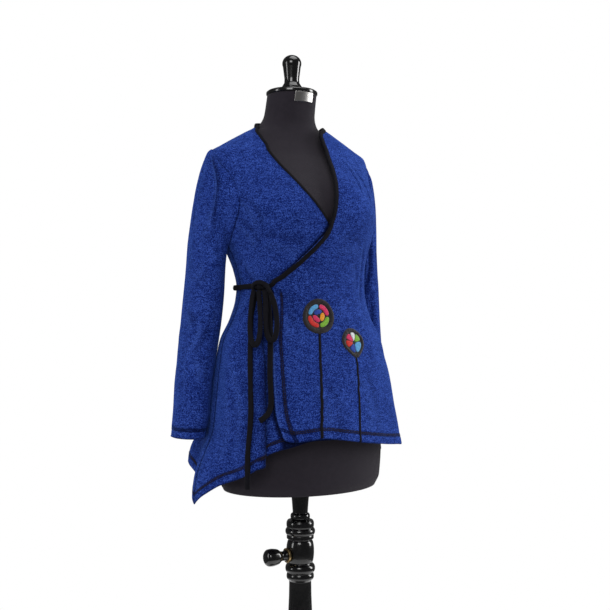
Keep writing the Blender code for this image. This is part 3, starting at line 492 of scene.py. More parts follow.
def section_points(body, angle, height):
    """Points on a body that is given by its sections."""
    angle, height = np.broadcast_arrays(angle, height)
    width, front, back, side = (read(height) for read in body)
    turn = np.radians(angle)
    x = width * np.sin(turn)
    reach = np.where(np.cos(turn) > 0, side + front, back - side)
    y = side - reach * np.cos(turn)
    away = (np.abs(x) - BUST_SIDE) ** 2 + (height - BUST_HEIGHT) ** 2
    y = y - BUST_RISE * ease(np.cos(turn) / 0.5) * np.exp(-away / (2 * BUST_SPREAD ** 2))
    return np.stack((x, y, height), axis=-1)


print("waist of the cloth", np.round(section_points(CLOTH, 90.0, 1.035), 4))

# %% [markdown]
# ## Folds of the flared skirt
# Below the waist there is more cloth than body, so it falls in soft cones that start at the
# hip and are full at the hem. Each row gives where a fold stands, how wide it is in degrees,
# how far it rises or sinks, and the heights where it starts and is full.

# %% Skirt folds
FOLDS = named(
    "angle spread rise start full",
    (-90.0, 14.0, 0.026, 0.775, 0.655),
    (-66.0, 8.0, -0.006, 0.900, 0.700),
    (-16.0, 8.0, 0.005, 0.900, 0.750),
    (14.0, 9.0, -0.005, 0.880, 0.750),
    (36.0, 8.0, -0.004, 0.900, 0.750),
    (58.0, 12.0, 0.006, 0.940, 0.760),
    (84.0, 9.0, -0.006, 0.930, 0.750),
    (112.0, 9.0, -0.010, 0.940, 0.750),
    (138.0, 9.0, 0.012, 0.960, 0.720),
    (163.0, 9.0, -0.008, 0.940, 0.720),
    (188.0, 9.0, 0.011, 0.970, 0.720),
    (212.0, 8.0, -0.010, 0.930, 0.720),
    (237.0, 9.0, 0.030, 0.800, 0.700),
)
STEP_ROUND = 0.2
STEP_UP = 0.001


def turned_apart(first, second):
    """Degrees between two directions round the body."""
    return (first - second + 180.0) % 360.0 - 180.0


def fold_rise(angle, height):
    """How far the skirt's folds stand off at each place."""
    total = 0.0
    for fold in FOLDS:
        growth = ease((fold["start"] - height) / (fold["start"] - fold["full"]))
        total = total + fold["rise"] * growth * bell(turned_apart(angle, fold["angle"]), fold["spread"])
    return total


def cloth_points(angle, height, lift=0.0):
    """Points on the cloth's outer face, or a lift above it."""
    here = section_points(CLOTH, angle, height)
    after, before = (section_points(CLOTH, angle + step, height) for step in (STEP_ROUND, -STEP_ROUND))
    above, below = (section_points(CLOTH, angle, height + step) for step in (STEP_UP, -STEP_UP))
    across, up = after - before, above - below
    rise = np.broadcast_to(lift + fold_rise(angle, height), here.shape[:-1])
    return here + unit(np.cross(across, up)) * rise[..., None]


print("hem at the front", np.round(cloth_points(0.0, 0.748), 4))

# %% [markdown]
# ## Creases
# A knit that hangs on a form is never quite smooth: it drags from the tie, pulls from the
# shoulder and buckles at the elbow. Each crease is a trough along a line with a softer ridge
# on one side, deepest in its middle. The lines are placed where the picture shows
# them, with similar ones on the sides that it doesn't show. Broad waves of under a millimetre
# keep the cloth between them from looking moulded.

# %% Creases and waves
CREASE_COLUMNS = "angle height end_angle end_height width depth"
BODY_CREASES = named(
    CREASE_COLUMNS,
    # Shoulder on the wearer's left
    (24.0, 1.294, 27.5, 1.216, 0.0024, -0.0026),
    (31.5, 1.282, 36.0, 1.198, 0.0024, -0.0026),
    # Side from bust to waist, wearer's left
    (38.5, 1.125, 43.5, 1.000, 0.0060, 0.0030),
    (49.0, 1.120, 58.0, 1.015, 0.0060, 0.0030),
    (30.0, 1.085, 38.0, 1.030, 0.0070, 0.0014),
    (66.0, 1.070, 60.0, 0.965, 0.0080, 0.0024),
    # Under the bust
    (8.0, 1.125, 34.0, 1.118, 0.0090, 0.0014),
    (-52.0, 1.128, -22.0, 1.112, 0.0090, 0.0012),
    # Drag from the tie
    (-54.0, 1.043, -34.0, 1.064, 0.0050, 0.0018),
    (-50.0, 1.024, -28.0, 1.002, 0.0060, 0.0016),
    (-66.0, 1.044, -78.0, 1.078, 0.0060, 0.0018),
    (-70.0, 1.022, -82.0, 0.972, 0.0070, 0.0020),
    (-40.0, 1.012, -24.0, 0.940, 0.0080, 0.0014),
    # Armholes, front
    (-56.0, 1.205, -48.0, 1.150, 0.0060, 0.0018),
    (-66.0, 1.165, -54.0, 1.118, 0.0060, 0.0022),
    (56.0, 1.200, 50.0, 1.150, 0.0060, 0.0016),
    # Skirt
    (-66.0, 0.900, -60.0, 0.720, 0.0080, 0.0016),
    (-72.0, 0.860, -70.0, 0.700, 0.0070, 0.0012),
    (62.0, 0.900, 66.0, 0.740, 0.0090, 0.0024),
    (24.0, 0.870, 26.0, 0.750, 0.0100, 0.0016),
    (-8.0, 0.860, -4.0, 0.750, 0.0100, 0.0014),
    # Back
    (150.0, 1.075, 120.0, 1.130, 0.0080, 0.0026),
    (210.0, 1.075, 240.0, 1.128, 0.0080, 0.0024),
    (168.0, 1.060, 160.0, 0.990, 0.0080, 0.0026),
    (196.0, 1.058, 204.0, 0.985, 0.0080, 0.0024),
    (130.0, 1.040, 122.0, 0.960, 0.0080, 0.0024),
    (236.0, 1.040, 244.0, 0.955, 0.0080, 0.0024),
    (128.0, 1.250, 112.0, 1.180, 0.0070, 0.0020),
    (232.0, 1.250, 248.0, 1.180, 0.0070, 0.0020),
    (172.0, 0.940, 176.0, 0.740, 0.0090, 0.0024),
    (222.0, 0.930, 226.0, 0.720, 0.0090, 0.0024),
)
DEGREE = 0.0028
FADE_SHARE = 0.35
BOW_SHARE = 0.10
RIDGE_OFF = 1.9
RIDGE_WIDTH = 1.2
RIDGE_SHARE = 0.6
WAVES = named(
    "around tall lean size",
    (7.0, 18.0, 0.6, 0.00035),
    (13.0, 11.0, 2.1, 0.00030),
    (19.0, 31.0, 4.0, 0.00018),
    (29.0, 23.0, 1.3, 0.00012),
)


def crease_rise(creases, across, height, degree):
    """Rise and fall of the cloth from its creases; across is in degrees."""
    total = np.zeros(np.broadcast(across, height).shape)
    for crease in creases:
        run_x = turned_apart(crease["end_angle"], crease["angle"]) * degree
        run_z = crease["end_height"] - crease["height"]
        length = math.hypot(run_x, run_z)
        off_x = turned_apart(across, crease["angle"]) * degree
        off_z = height - crease["height"]
        share = (off_x * run_x + off_z * run_z) / length ** 2
        bow = BOW_SHARE * length * np.sin(np.pi * np.clip(share, 0.0, 1.0))
        apart = (off_x * run_z - off_z * run_x) / length + bow
        fade = ease(share / FADE_SHARE + FADE_SHARE) * ease((1 - share) / FADE_SHARE + FADE_SHARE)
        ridge = bell(apart - RIDGE_OFF * crease["width"], RIDGE_WIDTH * crease["width"])
        total += crease["depth"] * fade * (RIDGE_SHARE * ridge - bell(apart, crease["width"]))
    return total


def wave_rise(across, height):
    """Broad faint waves of a brushed knit."""
    total = 0.0
    for wave in WAVES:
        turn = np.radians(across) * wave["around"]
        total = total + wave["size"] * np.sin(turn + wave["lean"] + height * wave["tall"])
        total = total + wave["size"] * np.sin(0.6 * turn - wave["lean"] * 2 + height * wave["tall"] * 2.3)
    return total


print("creases", len(BODY_CREASES), "waves", len(WAVES))

# %% [markdown]
# ## Hems, seams and painted shade
# A hem is turned up once and held by two rows of stitches. The doubled cloth is a little
# thicker up to the stitches, which pull a shallow groove each, and the free edge ripples.
# Cloth turns in at a seam. The painted light follows the creases, the grooves and the seams:
# painted highlight on ridges, painted shade in troughs, grooves, seams and at the hem's edge.

# %% Hem relief and painted light
STITCH_ROWS = (0.0156, 0.0194)
FLAP_ROWS = (0.0172, 0.0210)
HEM_RISE = 0.0007
HEM_END = 0.0025
PUCKER_SIZE, PUCKER_ROW, PUCKER_SPREAD, PUCKER_TURNS = 0.00022, 0.0178, 0.008, 97.0
RIPPLE_SIZE, RIPPLE_FADE, RIPPLE_TURNS, RIPPLE_START = 0.0007, 0.012, 21.0, 0.7
GROOVE_DEPTH = 0.0007
GROOVE_WIDTH = 0.0011
# How dark the painted shade in a stitch groove is, and how wide painted lines of shade and highlight are.
GROOVE_PAINTED_SHADE = 0.85
TONE_WIDTH = 0.0018
EDGE_TUCK = 0.0010
EDGE_ROUND = 0.0022
# Width of the painted shadow at a free edge.
EDGE_TONE_WIDTH = 0.0016
SEAM_TUCK = 0.0005
SEAM_OPENS = 1.215
SEAM_WIDTH = 0.0012
# Width of the painted shade along a seam.
SEAM_TONE_WIDTH = 0.0020
SEAM_FADE = 0.012
# Crease depth that gives full painted shade in its trough and full painted highlight on its ridge.
CREASE_FULL_TONE = 0.0075


def hem_rise(above, across):
    """Relief of a turned hem, by the distance above its edge."""
    turned_up = HEM_RISE * (1 - ease((above - STITCH_ROWS[1]) / HEM_END))
    grooves = sum(GROOVE_DEPTH * bell(above - row, GROOVE_WIDTH) for row in STITCH_ROWS)
    around = np.radians(across)
    pucker = PUCKER_SIZE * bell(above - PUCKER_ROW, PUCKER_SPREAD) * np.sin(around * PUCKER_TURNS)
    ripple = RIPPLE_SIZE * np.exp(-above / RIPPLE_FADE) * np.sin(around * RIPPLE_TURNS + RIPPLE_START)
    return turned_up - grooves + pucker + ripple - EDGE_TUCK * (1 - ease(above / EDGE_ROUND))


def seam_tuck(apart):
    """How far the cloth turns in towards a seam, by the distance from it."""
    return SEAM_TUCK * np.exp(-(np.abs(apart) / SEAM_WIDTH) ** 1.5)


def groove_painted_shade(distance, rows):
    """How much painted shade lies in rows of stitches."""
    return sum(GROOVE_PAINTED_SHADE * bell(distance - row, TONE_WIDTH) for row in rows)


def painted_light_tone(creases, above, seam_distance, height):
    """Painted light: painted highlight on ridges, painted shade in troughs, seams, stitch grooves and at the
    hem's edge: from -1 to 1.
    """
    seam = (0.1 + 0.7 * ease((SEAM_OPENS - height) / 0.06)) * bell(seam_distance, SEAM_TONE_WIDTH)
    edge = 0.7 * bell(above, EDGE_TONE_WIDTH)
    return np.clip(creases / CREASE_FULL_TONE - seam - edge - groove_painted_shade(above, STITCH_ROWS), -1.0, 1.0)


print("hem doubled by", HEM_RISE, "m up to", STITCH_ROWS[1], "m")

# %% [markdown]
# ## A cloth piece from a grid
# Every cut piece is a grid whose columns and rows are placed on the surface, with more of them
# near the seams and the hem where the relief is small. The grid keeps a flat map in metres,
# measured along its own columns and rows, for the knit to follow. A Solidify modifier gives
# the wall on the inner side.

# %% Grid to cloth
WALL = 0.0020
triangles = {}


def run_along(points, axis=0):
    """Distance of each point from the first one, measured along its line."""
    steps = np.linalg.norm(np.diff(points, axis=axis), axis=-1)
    return np.concatenate((np.zeros_like(np.take(steps, [0], axis)), np.cumsum(steps, axis=axis)), axis=axis)


def mesh_of(bm):
    """Close a shape under way as a smooth mesh."""
    mesh = bpy.data.meshes.new("shape")
    bm.to_mesh(mesh)
    bm.free()
    mesh.shade_smooth()
    return mesh


def grid_mesh(points, closed=False, capped=False, tone=None):
    """A mesh grid whose vertices take an array of points, and the painted light value there."""
    across, up = points.shape[0] - 1, points.shape[1] - 1
    u = run_along(points)
    flat = np.stack((u - u[len(u) // 2], run_along(points, 1)), axis=-1)
    bm = bmesh.new()
    layer = bm.loops.layers.uv.new("cloth")
    painted_light = bm.verts.layers.float.new("painted_light") if tone is not None else None
    bmesh.ops.create_grid(bm, x_segments=across, y_segments=up, size=0.5)
    for vert in bm.verts:
        i = round((vert.co.x + 0.5) * across)
        j = round((vert.co.y + 0.5) * up)
        vert.co = points[i, j]
        if painted_light:
            vert[painted_light] = tone[i, j]
        for loop in vert.link_loops:
            loop[layer].uv = flat[i, j]
    if closed:
        bmesh.ops.remove_doubles(bm, verts=bm.verts, dist=0.00002)
    if capped:
        bmesh.ops.holes_fill(bm, edges=[edge for edge in bm.edges if edge.is_boundary], sides=0)
    return mesh_of(bm)


def add_piece(name, mesh, material, wall=0.0, body="form", nodes=None):
    """Put a finished mesh in the scene. It dresses the CAD node of its name, unless told."""
    nodes = [name] if nodes is None else nodes
    mesh.materials.append(material)
    piece = bpy.data.objects.new("dressed_" + name if nodes else name, mesh)
    bpy.context.scene.collection.objects.link(piece)
    if wall:
        solid = piece.modifiers.new("wall", "SOLIDIFY")
        solid.thickness = wall
        solid.offset = -1.0
        solid.use_even_offset = False
    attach(piece, body)
    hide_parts(*nodes)
    triangles[name] = sum(len(face.vertices) - 2 for face in mesh.polygons) * (2 if wall else 1)
    return piece


def cut_piece(name, points, tone, plain, closed=False):
    """Add a piece of knit, with the painted light value on each vertex."""
    first = plain[1:, :-1] - plain[:-1, :-1]
    second = plain[:-1, 1:] - plain[:-1, :-1]
    add_piece(name, grid_mesh(points, closed, tone=tone), heather, WALL)


def crowded(count, closeness=0.75):
    """Shares from 0 to 1 that crowd towards both ends."""
    t = np.linspace(0.0, 1.0, count)
    return t - closeness * np.sin(2 * np.pi * t) / (2 * np.pi)


# %% [markdown]
# ## Cutting lines
# The outer front is cut in one line from the hem corner up past the waist, over the bust to
# the neck point, and the right front crosses under it. Side seams lie at the sides, and the
# armholes cut into the fronts and the back. Hems dip at the right side.

# %% Edges, hems and armholes
SEAM_ANGLE = 0.03
HEM_LEVEL = 0.748
STRETCH_TOP = 0.930
WAIST = 1.035
ARMPIT = 1.115
SHOULDER_TIP = 1.302
NECK_POINT = 1.360
BACK_NECK = 1.376
FLAP_LIFT_TOP = 0.0048
FLAP_LIFT_HEM = 0.0070
FLAP_SPREAD = 26.0
ARM_CUT_FRONT = 30.0
ARM_CUT_BACK = 25.0

# Angle of each front's edge by height
left_edge = curve(
    (0.748, -35.0), (0.770, -37.7), (0.792, -39.5), (0.814, -40.3), (0.925, -41.5), (1.020, -46.0),
    (1.042, -48.5), (1.059, -37.4), (1.089, -21.8), (1.120, -9.3), (1.148, -1.1), (1.179, 3.2), (1.226, 7.6),
    (1.260, 10.6), (1.300, 13.5), (1.330, 18.0), (1.343, 25.0), (1.352, 50.0), (1.360, 82.0),
)
right_edge = curve(
    (0.748, 50.0), (1.042, 48.0), (1.059, 38.0), (1.089, 24.0), (1.120, 12.0), (1.148, 4.0), (1.168, -2.1),
    (1.187, -8.3), (1.224, -18.1), (1.264, -23.6), (1.303, -29.3), (1.330, -44.0), (1.345, -61.0),
    (1.360, -84.0),
)

# Height of each hem by angle
left_hem = curve(
    (-36.0, 0.753), (-30.0, 0.747), (-13.0, 0.7515), (4.0, 0.745), (22.0, 0.736), (50.0, 0.723),
    (66.0, 0.716), (90.0, 0.710),
)
right_hem = curve(
    (-90.0, 0.622), (-80.0, 0.648), (-73.0, 0.664), (-58.0, 0.684), (-49.5, 0.699), (-44.5, 0.724),
    (-40.0, 0.731), (-32.0, 0.738), (-17.0, 0.7495), (50.0, 0.752),
)
back_hem = curve(
    (90.0, 0.698), (110.0, 0.690), (140.0, 0.696), (180.0, 0.700), (215.0, 0.695), (236.0, 0.686),
    (254.0, 0.656), (270.0, 0.622),
)


def row_height(level, hem):
    """Rows of the skirt are stretched so that the lowest one lies on the hem."""
    share = (STRETCH_TOP - level) / (STRETCH_TOP - HEM_LEVEL)
    return np.where(level >= STRETCH_TOP, level, STRETCH_TOP - share * (STRETCH_TOP - hem))


def armhole_angle(height, cut):
    """Where the armhole or the side seam crosses a height, degrees off the side."""
    share = np.clip((height - ARMPIT) / (SHOULDER_TIP - ARMPIT), 0.0, 1.0)
    return cut * np.sin(np.pi * share) ** 0.8


def side_seam(level):
    """Angle of the outer front's seams. Those of the right front are its mirror image."""
    return 90.0 - SEAM_ANGLE - armhole_angle(level, ARM_CUT_FRONT)


def outer_lift(angle, height):
    """How far the outer front stands off the one under it."""
    low = ease((WAIST - height) / (WAIST - HEM_LEVEL))
    over = FLAP_LIFT_TOP + (FLAP_LIFT_HEM - FLAP_LIFT_TOP) * low
    return over * ease((side_seam(height) - angle) / FLAP_SPREAD)


def body_creases(angle, height):
    """Creases alone, for the painted shade and highlight."""
    return crease_rise(BODY_CREASES, angle, height, DEGREE)


def worn(angle, height):
    """Creases and waves of a body piece."""
    return body_creases(angle, height) + wave_rise(angle, height)


def body_relief(angle, height, above_hem, seam_distance):
    """All the small relief of a body piece."""
    relief = worn(angle, height) * ease(seam_distance / SEAM_FADE)
    return relief + hem_rise(above_hem, angle) - seam_tuck(seam_distance)


BODY_ROWS = (np.arange(0.7770, 1.3380, 0.0031), np.linspace(1.3400, NECK_POINT, 12))
ARMHOLE_ENDS = np.array((0.0, 0.0002, 0.0005, 0.0009, 0.0014, 0.0020, 0.0028, 0.0040, 0.0055))
DENSE_ROWS = (HEM_LEVEL + np.linspace(0.0, 0.026, 19), ARMPIT + ARMHOLE_ENDS, SHOULDER_TIP - ARMHOLE_ENDS)
LEVELS = np.unique(np.concatenate(BODY_ROWS + DENSE_ROWS))
print("rows of a body piece", len(LEVELS))

# %% [markdown]
# ## The three body pieces
# Back, outer front and right front are set out by a share across and a level up. The right
# front is laid in one deep fold below the tie, where the cloth doubles back on itself, so its
# angle swings back over the fold. Each wall is about 2 mm.

# %% Back


def back_place(share, level):
    """Angle and height on the back: share 0 at the left side seam, 1 at the right one."""
    first = 90.0 + SEAM_ANGLE + armhole_angle(level, ARM_CUT_BACK)
    angle = first + (360.0 - 2 * first) * share
    climb = np.clip((level - SHOULDER_TIP) / (NECK_POINT - SHOULDER_TIP), 0.0, None)
    rise = (BACK_NECK - NECK_POINT) * climb * np.sin(np.pi * np.clip(share, 0, 1)) ** 0.7
    return angle, row_height(level, back_hem(angle)) + rise


def make_back():
    angle, height = back_place(crowded(150)[:, None], LEVELS[None, :])
    plain = cloth_points(angle, height)
    above = height - back_hem(angle)
    along = run_along(plain)
    seam = np.minimum(along, along[-1] - along)
    points = cloth_points(angle, height, body_relief(angle, height, above, seam))
    cut_piece("back", points, painted_light_tone(body_creases(angle, height), above, seam, height), plain)


make_back()

# %% Outer front


def left_seam_distance(angle, height):
    """How far a place is from the outer front's seams, in metres."""
    return np.maximum((side_seam(height) - angle) * DEGREE, 0.0)


def on_left(angle, height, lift=0.0):
    """Points on the worked face of the outer front, or a lift above it."""
    across = (angle - left_edge(height)) * DEGREE
    relief = body_relief(angle, height, height - left_hem(angle), left_seam_distance(angle, height))
    free_edge = EDGE_TUCK * (1 - ease(across / EDGE_ROUND))
    free_edge = free_edge + sum(GROOVE_DEPTH * bell(across - row, GROOVE_WIDTH) for row in FLAP_ROWS)
    relief = relief - ease((WAIST - height) / 0.02) * free_edge
    return cloth_points(angle, height, outer_lift(angle, height) + relief + lift)


def make_outer_front():
    share, level = crowded(130)[:, None], LEVELS[None, :]
    angle = left_edge(level) + (side_seam(level) - left_edge(level)) * share
    height = row_height(level, left_hem(angle))
    seam = left_seam_distance(angle, height)
    across = (angle - left_edge(height)) * DEGREE
    tone = painted_light_tone(body_creases(angle, height), height - left_hem(angle), seam, height)
    # Painted highlight just inside the free edge, painted shadow on the edge itself and painted shade in its
    # stitch grooves, below the waist.
    free_edge = 0.4 * bell(across - 0.004, TONE_WIDTH) - 1.6 * bell(across, EDGE_TONE_WIDTH)
    free_edge = free_edge - groove_painted_shade(across, FLAP_ROWS)
    tone = np.clip(tone + free_edge * ease((WAIST - height) / 0.02), -1.0, 1.0)
    cut_piece("front_left", on_left(angle, height), tone, cloth_points(angle, height))


make_outer_front()

# %% Right front
PLEAT_ANGLE = -47.0
PLEAT_HALF = 3.0
PLEAT_OVERHANG = 4.2
PLEAT_RISE = 0.012
PLEAT_FULL = 0.880
PLEAT_START = 1.000
PLEAT_COLUMNS = 24
FLAP_SHADE = 0.0042
WRAP_FLATTENS = 0.8
WRAP_SPREAD = 4.0
RIGHT_SPAN = right_edge(HEM_LEVEL) + 90.0


def pleat_growth(level):
    """How far the fold is laid at a level, from 0 to 1."""
    return ease((PLEAT_START - level) / (PLEAT_START - PLEAT_FULL))


def right_place(share, level):
    """Angle, height, rise and height above the hem: share 0 at the side, 1 at the free edge."""
    side = -side_seam(level)
    angle = side + (right_edge(level) - side) * share
    height = row_height(level, right_hem(angle))
    across = (PLEAT_ANGLE - angle) / PLEAT_HALF
    laid = pleat_growth(level)
    rise = PLEAT_RISE * laid * ease((across + 0.6) / 1.2) * ease((angle + 90.0) / 22.0)
    swing = PLEAT_OVERHANG * ease(2 * laid - 1) * np.sin(np.pi * across) * (1 - across * across)
    return angle + np.where(np.abs(across) < 1, swing, 0.0), height, rise, height - right_hem(angle)


def right_seam_distance(angle, level):
    """How far a place is from the right front's seams, in metres."""
    return np.maximum((angle + side_seam(level)) * DEGREE, 0.0)


def under_wrap(angle, height):
    """Relief lies flatter where the outer front covers it."""
    return 1 - WRAP_FLATTENS * ease((angle - left_edge(height)) / WRAP_SPREAD)


def right_face(share, level, lift=0.0):
    """Points on the worked face of the right front, or a lift above it."""
    angle, height, rise, above = right_place(share, level)
    relief = body_relief(angle, height, above, right_seam_distance(angle, level))
    return cloth_points(angle, height, rise + relief * under_wrap(angle, height) + lift)


def right_shares():
    """Shares across the right front, close together in its deep fold."""
    start = (PLEAT_ANGLE - PLEAT_HALF + 90.0) / RIGHT_SPAN
    end = (PLEAT_ANGLE + PLEAT_HALF + 90.0) / RIGHT_SPAN
    side = start * (1 - (1 - np.linspace(0.0, 1.0, 52)) ** 1.25)
    fold = np.linspace(start, end, PLEAT_COLUMNS + 1)[1:]
    return np.concatenate((side, fold, end + (1 - end) * np.linspace(0.0, 1.0, 76)[1:]))


def make_right_front():
    share, level = right_shares()[:, None], LEVELS[None, :]
    angle, height, rise, above = right_place(share, level)
    tone = painted_light_tone(body_creases(angle, height), above, right_seam_distance(angle, level), height)
    # Painted shadow along the outer front's edge, and full painted shade where the outer front covers this
    # piece.
    under_flap = (left_edge(height) - angle) * DEGREE
    tone = tone - np.where(under_flap > -0.002, 1.3 * bell(under_flap, FLAP_SHADE), 1.0)
    # Painted shade inside the deep fold.
    in_fold = (PLEAT_ANGLE + 90.0 - RIGHT_SPAN * share) / PLEAT_HALF
    tone = np.clip(tone - 1.2 * pleat_growth(level) * bell(in_fold - 0.1, 0.5), -1.0, 1.0)
    cut_piece("front_right", right_face(share, level), tone, cloth_points(angle, height, rise))


make_right_front()

# %% [markdown]
# ## Sleeves
# Each sleeve is a tube from the armhole to the cuff. Its first ring is the armhole itself and
# the next ones leave it gradually, so the cap rolls over the shoulder. The rings are given by
# their outer and inner lines, as a tailor would chalk them.

# %% Sleeves
SLEEVE = named(
    "outer outer_height inner inner_height middle depth armhole",
    (0.1760, 1.302, 0.1510, 1.1130, 0.034, 0.0520, 0.85),
    (0.1820, 1.287, 0.1510, 1.1090, 0.040, 0.0520, 0.50),
    (0.1890, 1.262, 0.1510, 1.1040, 0.046, 0.0520, 0.18),
    (0.1970, 1.225, 0.1500, 1.0970, 0.050, 0.0520, 0.0),
    (0.2035, 1.180, 0.1490, 1.0870, 0.054, 0.0520, 0.0),
    (0.2085, 1.130, 0.1485, 1.0720, 0.057, 0.0515, 0.0),
    (0.2120, 1.080, 0.1490, 1.0480, 0.058, 0.0515, 0.0),
    (0.2175, 1.030, 0.1510, 1.0180, 0.058, 0.0520, 0.0),
    (0.2245, 0.970, 0.1565, 0.9700, 0.058, 0.0515, 0.0),
    (0.2310, 0.915, 0.1660, 0.9150, 0.057, 0.0500, 0.0),
    (0.2400, 0.850, 0.1780, 0.8500, 0.053, 0.0480, 0.0),
    (0.2460, 0.795, 0.1860, 0.7950, 0.047, 0.0450, 0.0),
    (0.2530, 0.746, 0.1950, 0.7460, 0.043, 0.0430, 0.0),
)
RIGHT, LEFT = -1, 1
SLEEVE_SWAY = {RIGHT: (0.000, 0.000), LEFT: (-0.003, 0.022)}
SEAM_OVERLAP = 0.0016
SLEEVE_STEP = 0.0025
SLEEVE_DEGREE = 0.00075
LAST_RING = 0.0495
BACK_OF_SLEEVE = (
    (150.0, 1.230, 160.0, 1.150, 0.0060, 0.0024),
    (200.0, 1.000, 160.0, 0.960, 0.0070, 0.0024),
    (230.0, 0.950, 170.0, 0.900, 0.0070, 0.0022),
)
SLEEVE_CREASES = {
    RIGHT: named(
        CREASE_COLUMNS,
        (-66.0, 1.292, -30.0, 1.160, 0.0026, 0.0040),
        (-24.0, 1.180, -40.0, 1.120, 0.0060, 0.0018),
        (-30.0, 1.070, -60.0, 1.035, 0.0070, 0.0018),
        (-20.0, 0.965, -46.0, 0.905, 0.0060, 0.0024),
        (-26.0, 0.905, -4.0, 0.855, 0.0060, 0.0016),
        (30.0, 0.985, 10.0, 0.945, 0.0070, 0.0012),
        (-80.0, 0.990, -45.0, 0.960, 0.0070, 0.0022),
        *BACK_OF_SLEEVE,
        (100.0, 0.880, 60.0, 0.840, 0.0070, 0.0012),
    ),
    LEFT: named(
        CREASE_COLUMNS,
        (14.0, 1.272, 8.0, 1.180, 0.0050, 0.0020),
        (-20.0, 1.140, -36.0, 1.020, 0.0050, 0.0026),
        (-44.0, 1.130, -56.0, 1.030, 0.0050, 0.0020),
        (-10.0, 1.000, -34.0, 0.940, 0.0060, 0.0018),
        (20.0, 0.920, -8.0, 0.880, 0.0060, 0.0016),
        *BACK_OF_SLEEVE,
    ),
}


def sleeve_rings(side, turns):
    """The sleeve's rings from the armhole to the cuff: points by turn and ring."""
    around = np.radians(turns)
    reach = side * np.sin(around)
    height = (ARMPIT + SHOULDER_TIP) / 2 + (SHOULDER_TIP - ARMPIT) / 2 * reach
    front = 90.0 - armhole_angle(height, ARM_CUT_FRONT)
    back = 90.0 + armhole_angle(height, ARM_CUT_BACK)
    armhole = cloth_points(side * np.where(np.cos(around) > 0, front, back), height)
    rings = [armhole - np.array((side * SEAM_OVERLAP, 0.0, 0.0))]
    sway_x, sway_y = SLEEVE_SWAY[side]
    for row, ring in enumerate(SLEEVE, 1):
        hang = ease((ARMPIT - ring["inner_height"]) / (ARMPIT - SLEEVE[-1]["inner_height"]))
        centre_x = (ring["outer"] + ring["inner"]) / 2 + sway_x * hang
        x = side * (centre_x + (ring["outer"] - ring["inner"]) / 2 * reach)
        y = ring["middle"] + sway_y * hang - ring["depth"] * np.cos(around)
        z = (ring["outer_height"] + ring["inner_height"]) / 2
        z = z + (ring["outer_height"] - ring["inner_height"]) / 2 * reach
        clear = np.abs(armhole[:, 0]) + SLEEVE_STEP * row
        if ring["armhole"] > 0:
            x = side * np.maximum(clear, np.abs(x))
        tube = np.stack((x, y, z), axis=-1)
        hole = np.stack((side * clear, armhole[:, 1], armhole[:, 2]), axis=-1)
        rings.append(tube + (hole - tube) * ring["armhole"])
    return np.stack(rings, axis=1)


def through_rings(rings, places):
    """Points on smooth curves through the rings, at places counted in rings."""
    last = rings.shape[1] - 1
    k = np.clip(np.floor(places).astype(int), 0, last - 1)
    t = (places - k)[None, :, None]
    before = rings[:, np.maximum(k - 1, 0)]
    start, end = rings[:, k], rings[:, k + 1]
    after = rings[:, np.minimum(k + 2, last)]
    a, b = (end - before) * 0.5, (after - start) * 0.5
    near = start * (2 * t ** 3 - 3 * t ** 2 + 1) + a * (t ** 3 - 2 * t ** 2 + t)
    return near + end * (3 * t ** 2 - 2 * t ** 3) + b * (t ** 3 - t ** 2)


def tube_normals(points):
    """Directions away from the middle of a tube whose first and last columns meet."""
    around = np.concatenate((points[-2:-1], points, points[1:2]))
    return unit(np.cross(around[2:] - around[:-2], np.gradient(points, axis=1)))


def sleeve_surface(side, turns, places):
    """Worked points of a sleeve, its outward directions, its plain points and its painted light tone."""
    plain = through_rings(sleeve_rings(side, turns), places)
    normals = tube_normals(plain[:, ::-side])[:, ::-side]
    turn, height, down = turns[:, None], plain[..., 2], run_along(plain, 1)
    above = down[:, -1:] - down
    creases = crease_rise(SLEEVE_CREASES[side], turn, height, SLEEVE_DEGREE)
    relief = (creases + wave_rise(turn, height)) * ease(down / SEAM_FADE)
    relief = relief + hem_rise(above, turn * 0.35) - seam_tuck(down)
    return plain + normals * relief[..., None], normals, plain, painted_light_tone(creases, above, down, height)


def make_sleeve(side, name):
    near_cuff = len(SLEEVE) - np.linspace(0.50, 0.0, 24)
    near_top = np.linspace(0.0, 1.0, 12)[:-1]
    places = np.concatenate((near_top, np.linspace(1.0, near_cuff[0], 120)[:-1], near_cuff))
    points, _, plain, tone = sleeve_surface(side, np.linspace(-90.0, 270.0, 121), places)
    cut_piece(name, points[::side, ::-1], tone[::side, ::-1], plain, True)


make_sleeve(RIGHT, "sleeve_right")
make_sleeve(LEFT, "sleeve_left")

# %% [markdown]
# ## The dress form
# The form is a smooth padded torso under a stretch cover, closed at the base and the neck. A
# finer grid on the same sections keeps its curves true where the wrap leaves it bare.

# %% Form body
FORM_BOTTOM = 0.640
FORM_EDGE = 0.660
FORM_TOP = 1.424
turns = np.linspace(-90.0, 270.0, 129)
heights = (np.linspace(FORM_BOTTOM, FORM_EDGE, 7)[:-1], np.linspace(FORM_EDGE, FORM_TOP, 150))
heights = np.concatenate(heights)
form_points = section_points(FORM, turns[:, None], heights[None, :])
add_piece("form_body", grid_mesh(form_points, True, True), form_cover)
print("form", triangles["form_body"], "triangles")

# %% [markdown]
# ## Bindings
# A strip of black jersey is folded over each raw edge of the wrap and the back neck, and
# stitched down. Its cross-section is an open U round the edge of the cloth: up to 10 mm on the
# face, round the fold, and the same inside. Each row of the table is a place on that U: how
# far inward from the edge, and how far above the face.

